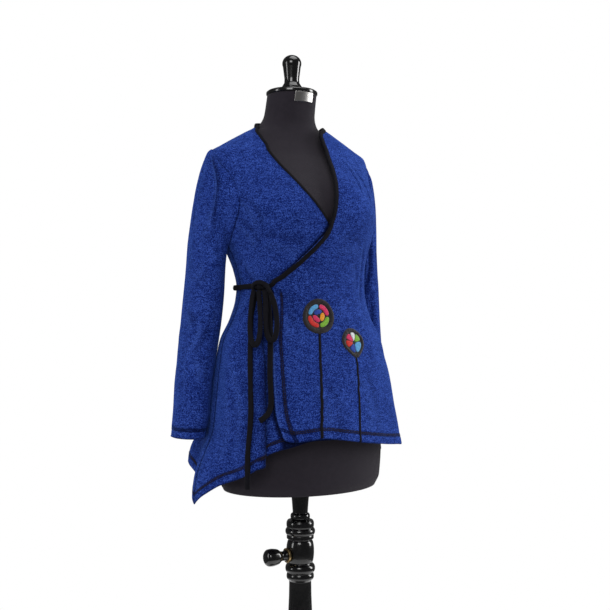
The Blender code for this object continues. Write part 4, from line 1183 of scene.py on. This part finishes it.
# %% Bindings
BINDING = (
    (0.0096, 0.0004), (0.0092, 0.0008), (0.0080, 0.0009), (0.0074, 0.0006), (0.0068, 0.0009),
    (0.0048, 0.0011), (0.0026, 0.0011), (0.0008, 0.0010), (-0.0002, 0.0007), (-0.0007, 0.0000),
    (-0.0009, -0.0009), (-0.0007, -0.0018), (-0.0001, -0.0026), (0.0012, -0.0029), (0.0050, -0.0030),
    (0.0090, -0.0028),
)
THIN_WALL = 0.0008
LOOK_UP = 0.001
RUN_TO_KNOT = (-54.5, 1.0355)
BAND_LEFT_SHARE = 0.72
BAND_RIGHT_SHARE = 0.50
BAND_RIGHT_END = 1.150


def faced(face, first, second):
    """Points at two measures on a face of the cloth, and their outward directions."""
    points = face(first, second)
    return points, unit(face(first, second, LOOK_UP) - points)


def angle_of(points):
    """The angle round the body of each point."""
    x, y, height = np.moveaxis(points, -1, 0)
    width, front, back, side = (read(height) for read in CLOTH)
    reach = np.where(side > y, side + front, back - side)
    return np.degrees(np.arctan2(x / width, (side - y) / reach))


def on_right(angle, height, lift=0.0):
    """Points on the right front's face above its fold, or a lift above it."""
    seam = right_seam_distance(angle, height)
    relief = (worn(angle, height) * ease(seam / SEAM_FADE) - seam_tuck(seam)) * under_wrap(angle, height)
    return cloth_points(angle, height, relief + lift)


def on_back(angle, height, lift=0.0):
    """Points on the back's face, or a lift above it."""
    angle = angle % 360.0
    return cloth_points(angle, height, worn(angle, height) + lift)


def make_binding(name, face, angle, height, inner_side, narrowed):
    """A U-shaped strip along an edge that is given by angles and heights on a face."""
    edge, outward = faced(face, angle, height)
    inward = unit(np.cross(outward, unit(np.gradient(edge, axis=0)))) * inner_side
    rows = []
    for reach, lift in BINDING:
        place = edge + inward * (max(reach, 0.0) * narrowed)
        rows.append(face(angle_of(place), place[..., 2], lift) + inward * min(reach, 0.0))
    return add_piece(name, grid_mesh(np.stack(rows)[::-inner_side]), black_jersey, THIN_WALL)


def front_line(edge, lowest, run_on=None):
    """Angles and heights of a front's edge, on to the shoulder seam and from a run to the knot."""
    height = np.linspace(lowest, NECK_POINT, 130)
    angle = edge(height)
    to_seam = np.linspace(angle[-1], math.copysign(90.0 - 2 * SEAM_ANGLE, angle[-1]), 10)[1:]
    if run_on:
        height = np.concatenate((np.linspace(run_on[1], lowest, 10)[:-1], height))
        angle = np.concatenate((np.linspace(run_on[0], angle[0], 10)[:-1], angle))
    return np.concatenate((angle, to_seam)), np.concatenate((height, np.full(to_seam.shape, NECK_POINT)))


shares = np.linspace(0.0004, 0.9996, 140)
narrowing = np.linspace(BAND_LEFT_SHARE, BAND_RIGHT_SHARE, len(shares))[:, None]
left_line = front_line(left_edge, WAIST + 0.0060, RUN_TO_KNOT)
right_line = front_line(right_edge, BAND_RIGHT_END)
neck_line = back_place(shares, np.full(shares.shape, NECK_POINT))
binding_left = make_binding("band_left", on_left, *left_line, -1, BAND_LEFT_SHARE)
binding_right = make_binding("band_right", on_right, *right_line, 1, BAND_RIGHT_SHARE)
binding_neck = make_binding("band_neck", on_back, *neck_line, -1, narrowing)
print("bindings", [triangles[name] for name in ("band_left", "band_right", "band_neck")])

# %% [markdown]
# ## Flower patches
# Each flower is built up in felt: a black patch with a thick fuzzy border, and coloured petals
# laid on it, each cut as a bowed strip with round ends. A tape stem runs from it to the hem.
# All of them are laid on the outer front's own face, so they follow its creases. The motif is
# a plain ring of arcs, made for this part.

# %% Flower patches
FLOWERS = named(
    "name angle level half_width half_height point stem_angle stem_foot",
    ("flower_round", -8.0, 0.9780, 0.0315, 0.0335, 0.0, -14.8, 0.7495),
    ("flower_bud", 17.0, 0.9260, 0.0270, 0.0270, 0.5, 10.8, 0.7480),
)
PETAL_COLUMNS = "start end inner outer colour"
PETALS = {
    "flower_round": named(
        PETAL_COLUMNS,
        (5.0, 85.0, 0.42, 0.70, "green"),
        (91.0, 175.0, 0.42, 0.70, "rose"),
        (181.0, 262.0, 0.42, 0.70, "sky"),
        (268.0, 359.0, 0.42, 0.70, "red"),
        (20.0, 130.0, 0.10, 0.38, "amber"),
        (137.0, 250.0, 0.10, 0.38, "navy"),
        (257.0, 373.0, 0.10, 0.38, "rose"),
    ),
    "flower_bud": named(
        PETAL_COLUMNS,
        (100.0, 152.0, 0.12, 0.70, "green"),
        (156.0, 196.0, 0.12, 0.70, "white"),
        (200.0, 248.0, 0.12, 0.70, "rose"),
        (252.0, 300.0, 0.12, 0.70, "red"),
        (304.0, 360.0, 0.12, 0.70, "navy"),
        (4.0, 96.0, 0.12, 0.70, "sky"),
    ),
}
RIM_PROFILE = (
    (1.000, 0.0002), (1.006, 0.0010), (0.995, 0.0018), (0.965, 0.0024), (0.915, 0.0028),
    (0.855, 0.0028), (0.800, 0.0024), (0.762, 0.0018), (0.742, 0.0011), (0.650, 0.0010),
    (0.450, 0.0010), (0.200, 0.0010), (0.000, 0.0010),
)
RIM_INNER = 0.7
RIM_WAVER = 0.010
RIM_TUFTS = 0.14
PETAL_LIFT = 0.0014
PETAL_CROWN = 0.0012
STEM_LIFT = 0.0006
STEM_CROWN = 0.0007
STEM_SWAY = 0.18
STEM_GAP = 0.0003
STEM_HALF_WIDTH = 0.0022
STEM_POINTS = 90


def flower_place(flower, turn, share):
    """Angle and height of points of a flower, by turn and share of the reach."""
    around = np.radians(turn)
    middle = flower["angle"]
    radius = CLOTH[0](flower["level"]) * math.cos(math.radians(middle))
    down = share * np.cos(around)
    width = flower["half_width"] * (1 - flower["point"] * np.maximum(down, 0.0) ** 1.5)
    angle = middle + np.degrees(width * share * np.sin(around) / radius)
    return angle, row_height(flower["level"] - flower["half_height"] * down, left_hem(angle))


def wavering(count, size, seed, turns):
    """A closed wavering line of small numbers."""
    random = np.random.default_rng(seed)
    around = np.linspace(0.0, 2 * np.pi, count)
    total = np.zeros(count)
    for k in range(2, turns + 2):
        total += random.normal() * np.sin(k * around + random.uniform(0, 6.28)) / math.sqrt(k)
    return size * total / 1.5


def make_patch(flower, seed):
    """The black patch with its raised, fuzzy border."""
    turn = np.linspace(0.0, 360.0, 121)
    shares, lifts = np.array(RIM_PROFILE).T
    edge = np.where(shares > RIM_INNER, 1.0, 0.0)
    waver = wavering(len(turn), RIM_WAVER, seed, 24)[:, None] * edge
    tufts = 1 + wavering(len(turn), RIM_TUFTS, seed + 1, 40)[:, None] * edge
    points = on_left(*flower_place(flower, turn[:, None], shares + waver), lifts * tufts)
    return add_piece(flower["name"] + "_rim", grid_mesh(points, True), rim_felt, THIN_WALL)


def make_petal(flower, number, petal):
    """A bowed strip of felt with round ends, crowned in the middle."""
    s, t = np.linspace(0.0, 1.0, 29)[:, None], np.linspace(1.0, 0.0, 9)[None, :]
    ends = np.sqrt(np.clip(1 - np.abs(2 * s - 1) ** 5, 0.0, 1.0))
    middle = (petal["inner"] + petal["outer"]) / 2
    half = (petal["outer"] - petal["inner"]) / 2
    turn = petal["start"] + (petal["end"] - petal["start"]) * s
    share = middle + half * (2 * t - 1) * (0.12 + 0.88 * ends)
    crown = (1 - np.abs(2 * t - 1) ** 4) * (1 - np.abs(2 * s - 1) ** 10)
    points = on_left(*flower_place(flower, turn + 0 * t, share), PETAL_LIFT + PETAL_CROWN * crown)
    return add_piece(f"{flower['name']}_petal_{number}", grid_mesh(points), felts[petal["colour"]], THIN_WALL)


def make_stem(flower, seed):
    """A black tape from the flower to the hem."""
    foot, top = flower["stem_foot"], flower["level"] - flower["half_height"] - STEM_GAP
    level = np.linspace(foot, top, STEM_POINTS)[None, :]
    across = np.linspace(-1.0, 1.0, 9)[:, None]
    half_turn = math.degrees(STEM_HALF_WIDTH / CLOTH[0](flower["level"]))
    lean = (flower["angle"] - flower["stem_angle"]) * (level - foot) / (top - foot)
    middle = flower["stem_angle"] + lean + wavering(STEM_POINTS, STEM_SWAY, seed, 12)[None, :]
    angle = middle + half_turn * across
    lift = STEM_LIFT + STEM_CROWN * (1 - across ** 4)
    points = on_left(angle, row_height(level, left_hem(angle)), lift)
    return add_piece(flower["name"] + "_stem", grid_mesh(points), black_jersey, THIN_WALL)


trimmings = []
for seed, flower in enumerate(FLOWERS, 11):
    trimmings += [make_patch(flower, seed), make_stem(flower, seed + 20)]
    trimmings += [make_petal(flower, number, petal) for number, petal in enumerate(PETALS[flower["name"]], 1)]
print("flower pieces", len(trimmings))

# %% [markdown]
# ## The tie
# The tie is a narrow jersey tube, pressed flat, about 10 mm wide. It leaves the waist under
# the knot, makes two loops that hang in front, and ends in a long and a short tail. Each run
# is a ring swept along its middle line, with its flat side towards the viewer. The routes are
# those of the CAD. Loops and tails hang free.

# %% Tie routes
LOOPS = {
    "tie_loop_left": (
        (-0.1313, -0.0521, 1.0279), (-0.1370, -0.0540, 1.0038), (-0.1459, -0.0648, 0.9719),
        (-0.1525, -0.0790, 0.9462), (-0.1529, -0.0874, 0.9316), (-0.1493, -0.0929, 0.9262),
        (-0.1441, -0.0945, 0.9335), (-0.1373, -0.0888, 0.9518), (-0.1306, -0.0772, 0.9757),
        (-0.1267, -0.0673, 1.0019), (-0.1252, -0.0608, 1.0270),
    ),
    "tie_loop_right": (
        (-0.1174, -0.0686, 1.0282), (-0.1185, -0.0755, 1.0019), (-0.1237, -0.0853, 0.9720),
        (-0.1266, -0.0947, 0.9499), (-0.1260, -0.1026, 0.9381), (-0.1213, -0.1066, 0.9350),
        (-0.1154, -0.1074, 0.9408), (-0.1099, -0.1035, 0.9573), (-0.1068, -0.0968, 0.9776),
        (-0.1075, -0.0894, 1.0019), (-0.1115, -0.0822, 1.0215),
    ),
}
TAILS = {
    "tie_tail_long": (
        (-0.1223, -0.0481, 1.0255), (-0.1294, -0.0472, 1.0019), (-0.1387, -0.0549, 0.9718),
        (-0.1525, -0.0785, 0.9183), (-0.1599, -0.0938, 0.8529), (-0.1629, -0.1013, 0.8059),
        (-0.1670, -0.1052, 0.7718), (-0.1724, -0.1079, 0.7324), (-0.1749, -0.1116, 0.7040),
        (-0.1753, -0.1122, 0.6850), (-0.1753, -0.1122, 0.6650),
    ),
    "tie_tail_short": (
        (-0.1095, -0.0627, 1.0265), (-0.1094, -0.0720, 0.9944), (-0.1158, -0.0891, 0.9534),
        (-0.1215, -0.0997, 0.9166), (-0.1270, -0.1086, 0.8692), (-0.1290, -0.1155, 0.8366),
        (-0.1297, -0.1167, 0.8166), (-0.1360, -0.1201, 0.8026), (-0.1461, -0.1227, 0.7952),
        (-0.1530, -0.1178, 0.7887),
    ),
}
TIE_WIDTH = 0.0104
TIE_THICK = 0.0062
ROUTE_STEP = 0.0025
LEVEL_ONLY = np.array((1.0, 1.0, 0.0))
BODY_MIDDLE = np.array((0.0, 0.005, 0.0))


def read_at(places, source, values):
    """Rows of three numbers, read at places along their list."""
    return np.stack([np.interp(places, source, values[:, k]) for k in range(3)], axis=-1)


def even_points(points, step):
    """The same line with points at an even step, and each one's distance along it."""
    along = run_along(points)
    places = np.linspace(0.0, along[-1], round(along[-1] / step))
    return read_at(places, along, points), places


def smooth_route(points, step=ROUTE_STEP):
    """Points at an even step on a smooth curve through a route's own points."""
    points = np.array(points)
    dense = through_rings(points[None], np.linspace(0.0, len(points) - 1.0, 12 * len(points)))[0]
    return even_points(dense, step)[0]


def strand_mesh(route, facing, width, thick, seed):
    """A flattened tube along a route; facing is the way its flat side looks."""
    along = unit(np.gradient(route, axis=0))
    wide = unit(np.cross(along, facing))
    out = np.cross(wide, along)
    around = np.append(np.linspace(0.0, 2 * np.pi, 25)[:-1], 0.0)[:, None, None]
    cos, sin = np.cos(around), np.sin(around)
    flat_x = np.sign(cos) * np.abs(cos) ** 0.85 * wide * width / 2
    flat_y = np.sign(sin) * np.abs(sin) ** 0.90 * out * thick / 2
    fuller = 1 + wavering(len(route), 0.05, seed, 8)[:, None]
    return grid_mesh(route + (flat_x + flat_y) * fuller, True, True)


for seed, (name, points) in enumerate({**LOOPS, **TAILS}.items(), 41):
    route = smooth_route(points)
    outward = unit(route * LEVEL_ONLY - BODY_MIDDLE)
    piece = add_piece(name, strand_mesh(route, outward, TIE_WIDTH, TIE_THICK, seed), black_jersey)
    length = round(float(run_along(route)[-1]), 3)
    print(name, "length", length)

# %% Knot and waist strand
KNOT_ANGLE = -58.2
KNOT_HEIGHT = 1.036
KNOT_LENGTH = 0.037
KNOT_TALL = 0.019
KNOT_DEEP = 0.020
LAY_GAP = 0.0008
KNOT_OVER = (
    (-0.0100, -0.0110, 0.0058), (-0.0118, -0.0040, 0.0080), (-0.0085, 0.0035, 0.0092),
    (0.0000, 0.0066, 0.0098), (0.0090, 0.0058, 0.0102), (0.0170, 0.0010, 0.0108),
    (0.0222, -0.0062, 0.0106), (0.0259, -0.0150, 0.0095),
)
KNOT_STEP = 0.0012
WAIST_START = -268.0
WAIST_END = -67.2
WAIST_LIFT = 0.0042

# Width, thickness and seed of the strands
KNOT_STRAND = (0.0092, 0.0044, 61)
WAIST_STRAND = (0.0100, 0.0054, 71)
waist_height = curve((WAIST_START, 1.034), (-180.0, 1.033), (-90.0, 1.034), (WAIST_END, 1.036))


def joined(bm, meshes):
    """Add loose meshes to a shape under way and close it as one mesh."""
    for mesh in meshes:
        bm.from_mesh(mesh)
        bpy.data.meshes.remove(mesh)
    return mesh_of(bm)


def knot_mesh():
    """A lump of turned cloth, a strand bent over it and a strand wrapped round its middle."""
    centre = cloth_points(KNOT_ANGLE, KNOT_HEIGHT, KNOT_DEEP / 2 + LAY_GAP)
    out = unit(centre - cloth_points(KNOT_ANGLE, KNOT_HEIGHT))
    side = unit(np.cross((0.0, 0.0, 1.0), out))
    local = np.array((side, np.cross(out, side), out))
    bm = bmesh.new()
    bm.loops.layers.uv.new("cloth")
    bmesh.ops.create_uvsphere(bm, u_segments=40, v_segments=24, radius=1.0)
    for vert in bm.verts:
        x, y, z = vert.co
        shape = np.array((
            KNOT_LENGTH / 2 * math.copysign(abs(x) ** 0.8, x) * 0.96,
            KNOT_TALL / 2 * math.copysign(abs(y) ** 0.9, y) * 0.88,
            KNOT_DEEP / 2 * math.copysign(abs(z) ** 0.9, z) * 0.80,
        ))
        shape *= 1 + 0.05 * math.sin(9.0 * x + 2.0 * y) + 0.03 * math.sin(14.0 * y - 5.0 * z)
        vert.co = centre + shape @ local
    turn = np.linspace(-0.25 * np.pi, 1.32 * np.pi, 60)
    wrap = np.stack((0.0015 + 0.0016 * np.sin(turn), 0.0078 * np.cos(turn), 0.0080 * np.sin(turn)), axis=-1)
    routes = [line @ local + centre for line in (smooth_route(KNOT_OVER, KNOT_STEP), wrap)]
    return joined(bm, [strand_mesh(route, unit(route - centre), *KNOT_STRAND) for route in routes])


add_piece("tie_knot", knot_mesh(), black_jersey)
angles = np.linspace(WAIST_START, WAIST_END, 260)
route = cloth_points(angles, waist_height(angles), WAIST_LIFT)
outward = unit(route - cloth_points(angles, waist_height(angles)))
add_piece("tie_waist", strand_mesh(route, outward, *WAIST_STRAND), black_jersey)
print("knot", triangles["tie_knot"], "waist strand", triangles["tie_waist"])

# %% [markdown]
# ## Turned pieces
# The cap, the finial, the post and the base are turned wood, so each is one outline spun round
# its axis. Real turnings have no razor edges: every corner of an outline is eased by a small
# curve before it is spun, which gives the edges their thin highlights.

# %% Spin an outline
TURN_STEPS = 72


def eased(outline, radius):
    """The outline with every inner corner replaced by a short curve."""
    outline = [np.array(point, float) for point in outline]
    made = [outline[0]]
    for before, corner, after in zip(outline, outline[1:], outline[2:]):
        to_before, to_after = before - corner, after - corner
        first = corner + to_before * min(0.45, radius / max(np.linalg.norm(to_before), 1e-6))
        last = corner + to_after * min(0.45, radius / max(np.linalg.norm(to_after), 1e-6))
        for t in (0.0, 0.33, 0.67, 1.0):
            made.append(first * (1 - t) ** 2 + corner * 2 * t * (1 - t) + last * t ** 2)
    return made + [outline[-1]]


def turned_piece(name, outline, material, body, radius=0.0006, steps=TURN_STEPS, matrix=Matrix()):
    """An outline of radius and height, eased, spun round Z and put in place."""
    bm = bmesh.new()
    verts = [bm.verts.new((max(r, 0.0), 0.0, z)) for r, z in eased(outline, radius)]
    edges = [bm.edges.new(pair) for pair in zip(verts, verts[1:])]
    bmesh.ops.spin(
        bm, geom=verts + edges, cent=(0, 0, 0), axis=(0, 0, 1), angle=2 * math.pi,
        steps=steps, use_merge=True,
    )
    bmesh.ops.remove_doubles(bm, verts=bm.verts, dist=0.000002)
    bmesh.ops.recalc_face_normals(bm, faces=bm.faces)
    bmesh.ops.transform(bm, matrix=matrix, verts=bm.verts)
    add_piece(name, mesh_of(bm), material, body=body)
    print(name, triangles[name])


def bead(radius, bulge, low, high, steps=12):
    """A rounded ring on an outline, from its top to its bottom."""
    turns = np.pi * np.arange(steps + 1) / steps
    middle, half = (low + high) / 2, (high - low) / 2
    return [(radius + bulge * math.sin(turn), middle + half * math.cos(turn)) for turn in turns]


print("turned pieces have", TURN_STEPS, "steps")

# %% Cap and finial
NECK_AXIS_Y = 0.034
CAP_RADIUS = 0.052
CAP_BOTTOM = 1.4240
FINIAL_TOP = 1.507
BALL_LOW = 0.048
BALL_RADIUS = 0.0195
top = FINIAL_TOP - CAP_BOTTOM
outline = [(0.0, top)]
for turn in np.linspace(0.05, math.pi * 0.62, 18):
    outline.append((BALL_RADIUS * math.sin(turn), BALL_LOW + (top - BALL_LOW) * (0.5 + 0.5 * math.cos(turn))))
outline += [(0.0150, 0.034), (0.0155, 0.026), (0.0205, 0.018), (0.0210, 0.0125)]
outline += [(CAP_RADIUS - 0.004, 0.0095), (CAP_RADIUS, 0.0065), (CAP_RADIUS, 0.0015)]
outline += [(CAP_RADIUS - 0.002, 0.0003), (0.0, 0.0003)]
cap_place = Matrix.Translation((0.0, NECK_AXIS_Y, CAP_BOTTOM))
turned_piece("neck_cap", outline, lacquer, "form", 0.0012, matrix=cap_place)

# %% Base, post, pole, collar and clamp screw
BASE_RADIUS = 0.185
BASE_STEPS = 120
POLE_RADIUS = 0.0110
BORE_GAP = 0.0003
BORE = POLE_RADIUS + BORE_GAP
BORE_BOTTOM = 0.120
POLE_BOTTOM = 0.130
STAND_TOP = 0.5705
COLLAR_BOTTOM = 0.5708
POLE_TOP = COLLAR_BOTTOM + 0.030
SOCKET_TOP = POLE_TOP + BORE_GAP
NECK_TOP = 0.6397
SCREW_HEIGHT = 0.503
SCREW_SPOT = 0.0280
SCREW_STEPS = 48
RING_DEPTH = 0.0045

turned_piece("base", [
    (0.0, 0.044), (0.060, 0.043), (0.100, 0.038), (0.145, 0.030), (0.168, 0.026), (0.178, 0.023),
    (BASE_RADIUS, 0.016), (BASE_RADIUS, 0.003), (BASE_RADIUS - 0.003, 0.0), (0.0, 0.0),
], lacquer, "stand", steps=BASE_STEPS)
turned_piece("post", [
    (0.0, BORE_BOTTOM), (BORE, BORE_BOTTOM), (BORE, STAND_TOP), (0.0255, STAND_TOP),
    *bead(0.0260, 0.0016, 0.5560, 0.5690), *bead(0.0262, 0.0036, 0.5425, 0.5550),
    (0.0270, 0.5400), (0.0270, 0.5345), (0.0232, 0.5325),
    *bead(0.0232, 0.0045, 0.4860, 0.5310, 18), *bead(0.0252, 0.0046, 0.4670, 0.4835),
    *bead(0.0250, 0.0024, 0.4535, 0.4655),
    (0.0220, 0.4500), (0.0225, 0.4200), (0.0262, 0.3300), (0.0255, 0.2400), (0.0215, 0.1700),
    *bead(0.0230, 0.0060, 0.1420, 0.1620),
    (0.0225, 0.1380), (0.0260, 0.1100), (0.0360, 0.0750), (0.0480, 0.0560),
    (0.0560, 0.0500), (0.0560, 0.0443), (0.0, 0.0443),
], lacquer, "stand")
turned_piece("pole", [
    (0.0, POLE_TOP), (POLE_RADIUS, POLE_TOP), (POLE_RADIUS, POLE_BOTTOM), (0.0, POLE_BOTTOM),
], steel, "pole")
turned_piece("form_neck", [
    (0.0, NECK_TOP), (0.0210, NECK_TOP), (0.0185, 0.6300), (0.0160, 0.6000), (0.0150, 0.5850),
    *bead(0.0170, 0.0025, COLLAR_BOTTOM + 0.0010, 0.5840),
    (0.0170, COLLAR_BOTTOM), (BORE, COLLAR_BOTTOM), (BORE, SOCKET_TOP), (0.0, SOCKET_TOP),
], lacquer, "form")
screw_place = Matrix.Translation((-SCREW_SPOT, 0.0, SCREW_HEIGHT))
screw_place = screw_place @ Matrix.Rotation(math.radians(-90), 4, "Y")
turned_piece("screw_ring", [
    (0.0060, 0.0), (0.0145, 0.0), (0.0145, -RING_DEPTH), (0.0060, -RING_DEPTH), (0.0060, 0.0),
], brass, "stand", 0.0007, SCREW_STEPS, screw_place @ Matrix.Translation((0, 0, RING_DEPTH)))
turned_piece("clamp_screw", [
    (0.0, 0.0520), (0.0110, 0.0510), (0.0165, 0.0460), (0.0172, 0.0360), (0.0150, 0.0240), (0.0095, 0.0170),
    (0.0090, 0.0100), (0.0120, 0.0048), (0.0057, 0.0048), (0.0057, 0.0003), (0.0, 0.0003),
], lacquer, "screw", 0.0030, SCREW_STEPS, screw_place)

# %% Plate on the neck
PLATE_WIDTH = 0.042
PLATE_HEIGHT = 0.019
PLATE_WALL = 0.0012
PLATE_MIDDLE = 1.4145
PLATE_ANGLE = 3.0
PLATE_ROUND = 0.0008
PLATE_DROP = 0.0005
NECK_RADIUS = 0.050


def make_plate():
    """The blank plate, bent round the neck, with its edges eased."""
    half_turn = math.degrees(PLATE_WIDTH / 2 / NECK_RADIUS)
    s, t = crowded(33, 0.85)[:, None], crowded(17, 0.85)[None, :]
    heights = PLATE_MIDDLE + PLATE_HEIGHT / 2 * (2 * t - 1)
    points = section_points(FORM, PLATE_ANGLE + half_turn * (2 * s - 1), heights)
    front, back = section_points(FORM, 0.0, heights), section_points(FORM, 180.0, heights)
    edge = np.minimum(np.minimum(s, 1 - s) * PLATE_WIDTH, np.minimum(t, 1 - t) * PLATE_HEIGHT)
    lift = LAY_GAP + PLATE_WALL - PLATE_DROP * (1 - ease(edge / PLATE_ROUND))
    points = points + unit(points - (front + back) / 2) * lift[..., None]
    add_piece("name_plate", grid_mesh(points), plate_metal, PLATE_WALL)


make_plate()
print("plate", triangles["name_plate"])

# %% [markdown]
# ## Stitches
# The hems, the cuffs and the outer flap are held by a twin-needle stitch in a dark thread, two
# rows about 4 mm apart. Each row is a half-round thread that swells out of the cloth and dips
# back into it once a stitch. A finer looper thread crosses from one row to the other. All are
# swept as grids, with few faces for each stitch.

# %% Stitches
STITCH_PITCH = 0.0042
STITCH_WIDE = 0.00105
STITCH_TALL = 0.00075
STITCH_SUNK = 0.0003
STITCH_PARTS = 8
LOOPER_WIDE = 0.00040
LOOPER_STEP = 0.0012
LOOPER_LIFT = 0.0002
LOOPER_SWING = (0.06, 0.94)
ROW_POINTS = 400
FLAP_STITCHES_TOP = WAIST - 0.012


def evened(values, count):
    """Rows of three numbers, read at an even count of places in their list."""
    return read_at(np.linspace(0.0, 1.0, count), np.linspace(0.0, 1.0, len(values)), values)


def needle_mesh(points, outward):
    """One row of stitches: a thread that swells out of the cloth and dips back at each one."""
    line, places = even_points(points, STITCH_PITCH / STITCH_PARTS)
    out = unit(evened(outward, len(line)))
    side = unit(np.cross(unit(np.gradient(line, axis=0)), out))
    swell = (np.abs(np.sin(np.pi * places / STITCH_PITCH)) ** 0.55)[:, None]
    around = np.linspace(0.0, np.pi, 6)[:, None, None]
    wide = np.cos(around) * side * (STITCH_WIDE * (0.25 + 0.75 * swell))
    return grid_mesh(line + wide + (np.sin(around) * (STITCH_TALL * swell) - STITCH_SUNK) * out)


def looper_mesh(low, high, outward):
    """The thread that crosses between two rows, from one to the other and back."""
    low, _ = even_points(low, STITCH_PITCH / 2)
    out = unit(evened(outward, len(low)))
    swing = np.where(np.arange(len(low)) % 2 == 0, *LOOPER_SWING)[:, None]
    route, _ = even_points(low + (evened(high, len(low)) - low) * swing + out * LOOPER_LIFT, LOOPER_STEP)
    out = unit(evened(out, len(route)))
    side = unit(np.cross(unit(np.gradient(route, axis=0)), out))
    around = np.linspace(0.0, np.pi, 4)[:, None, None]
    return grid_mesh(route + np.cos(around) * side * LOOPER_WIDE + np.sin(around) * out * LOOPER_WIDE)


def make_stitches(name, pairs):
    """Pairs of rows, each of points with their outward directions, as threads in one piece."""
    meshes = []
    for low, high in pairs:
        meshes += [needle_mesh(*low), needle_mesh(*high), looper_mesh(low[0], *high)]
    return add_piece(name, joined(bmesh.new(), meshes), thread, nodes=())


def hem_level(hem, above):
    """The level whose row lies a distance above the hem."""
    return STRETCH_TOP - (STRETCH_TOP - hem - above) * (STRETCH_TOP - HEM_LEVEL) / (STRETCH_TOP - hem)


def outer_front_rows():
    """The pair of rows along the outer front's hem, and the pair up its free edge."""
    hem_rows, flap_rows = [], []
    for row, flap_row in zip(STITCH_ROWS, FLAP_ROWS):
        start = left_edge(HEM_LEVEL + row) + flap_row / DEGREE
        angle = np.linspace(start, side_seam(0.75) - 0.3, ROW_POINTS)
        hem_rows.append(faced(on_left, angle, left_hem(angle) + row))
        height = np.linspace(left_hem(start) + row, FLAP_STITCHES_TOP, ROW_POINTS)
        flap_rows.append(faced(on_left, left_edge(height) + flap_row / DEGREE, height))
    return [hem_rows, flap_rows]


def right_front_row(row):
    """A row along the right front's hem, to just under the outer front."""
    share = np.linspace(0.006, 0.62, ROW_POINTS)
    hem = right_hem(right_place(share, HEM_LEVEL + row)[0])
    return faced(right_face, share, hem_level(hem, row))


def back_row(row):
    """A row along the back's hem, from seam to seam."""
    share = np.linspace(0.004, 0.996, ROW_POINTS)
    hem = back_hem(back_place(share, HEM_LEVEL + row)[0])
    angle, height = back_place(share, hem_level(hem, row))
    relief = body_relief(angle, height, row, np.full(share.shape, 0.1))

    def face(angle, height, lift=0.0):
        return cloth_points(angle, height, relief + lift)
    return faced(face, angle, height)


def cuff_row(side, row):
    """A row all round a cuff."""
    places = len(SLEEVE) - np.array((row, 0.0)) / LAST_RING
    points, normals, _, _ = sleeve_surface(side, np.linspace(-90.0, 270.0, 241), places)
    return points[:, 0], normals[:, 0]


ROWS = {
    "outer_front": outer_front_rows(),
    "right_front": [[right_front_row(row) for row in STITCH_ROWS]],
    "back": [[back_row(row) for row in STITCH_ROWS]],
    "right_cuff": [[cuff_row(RIGHT, row) for row in STITCH_ROWS]],
    "left_cuff": [[cuff_row(LEFT, row) for row in STITCH_ROWS]],
}
stitched = {name: make_stitches("stitches_" + name, pairs) for name, pairs in ROWS.items()}
print("stitched rows on", ", ".join(stitched))

# %% [markdown]

# %% [markdown]
# ## Floor
# The floor is a plain pale disc under the base. It belongs to the picture and not to the part,
# and it only takes the soft shadow that grounds the stand.

# %% Floor
FLOOR_RADIUS = 1.0
FLOOR_DROP = 0.0005

bm = bmesh.new()
bmesh.ops.create_circle(bm, cap_ends=True, segments=96, radius=FLOOR_RADIUS)
bmesh.ops.translate(bm, vec=(0.0, 0.0, -FLOOR_DROP), verts=bm.verts)
floor = bpy.data.objects.new("floor", mesh_of(bm))
paint = Finish("pale_floor", Roughness=0.7)
grain = paint.noise(paint.place(), 3.0)
paint.set("Base Color", paint.mix(grain, colour(0.78, 0.78, 0.78), colour(0.84, 0.84, 0.84)))
floor.data.materials.append(paint.material)
bpy.context.scene.collection.objects.link(floor)
print("floor radius", FLOOR_RADIUS)

# %% Count the triangles
print("triangles", sum(triangles.values()), "most in one piece", max(triangles.values()))
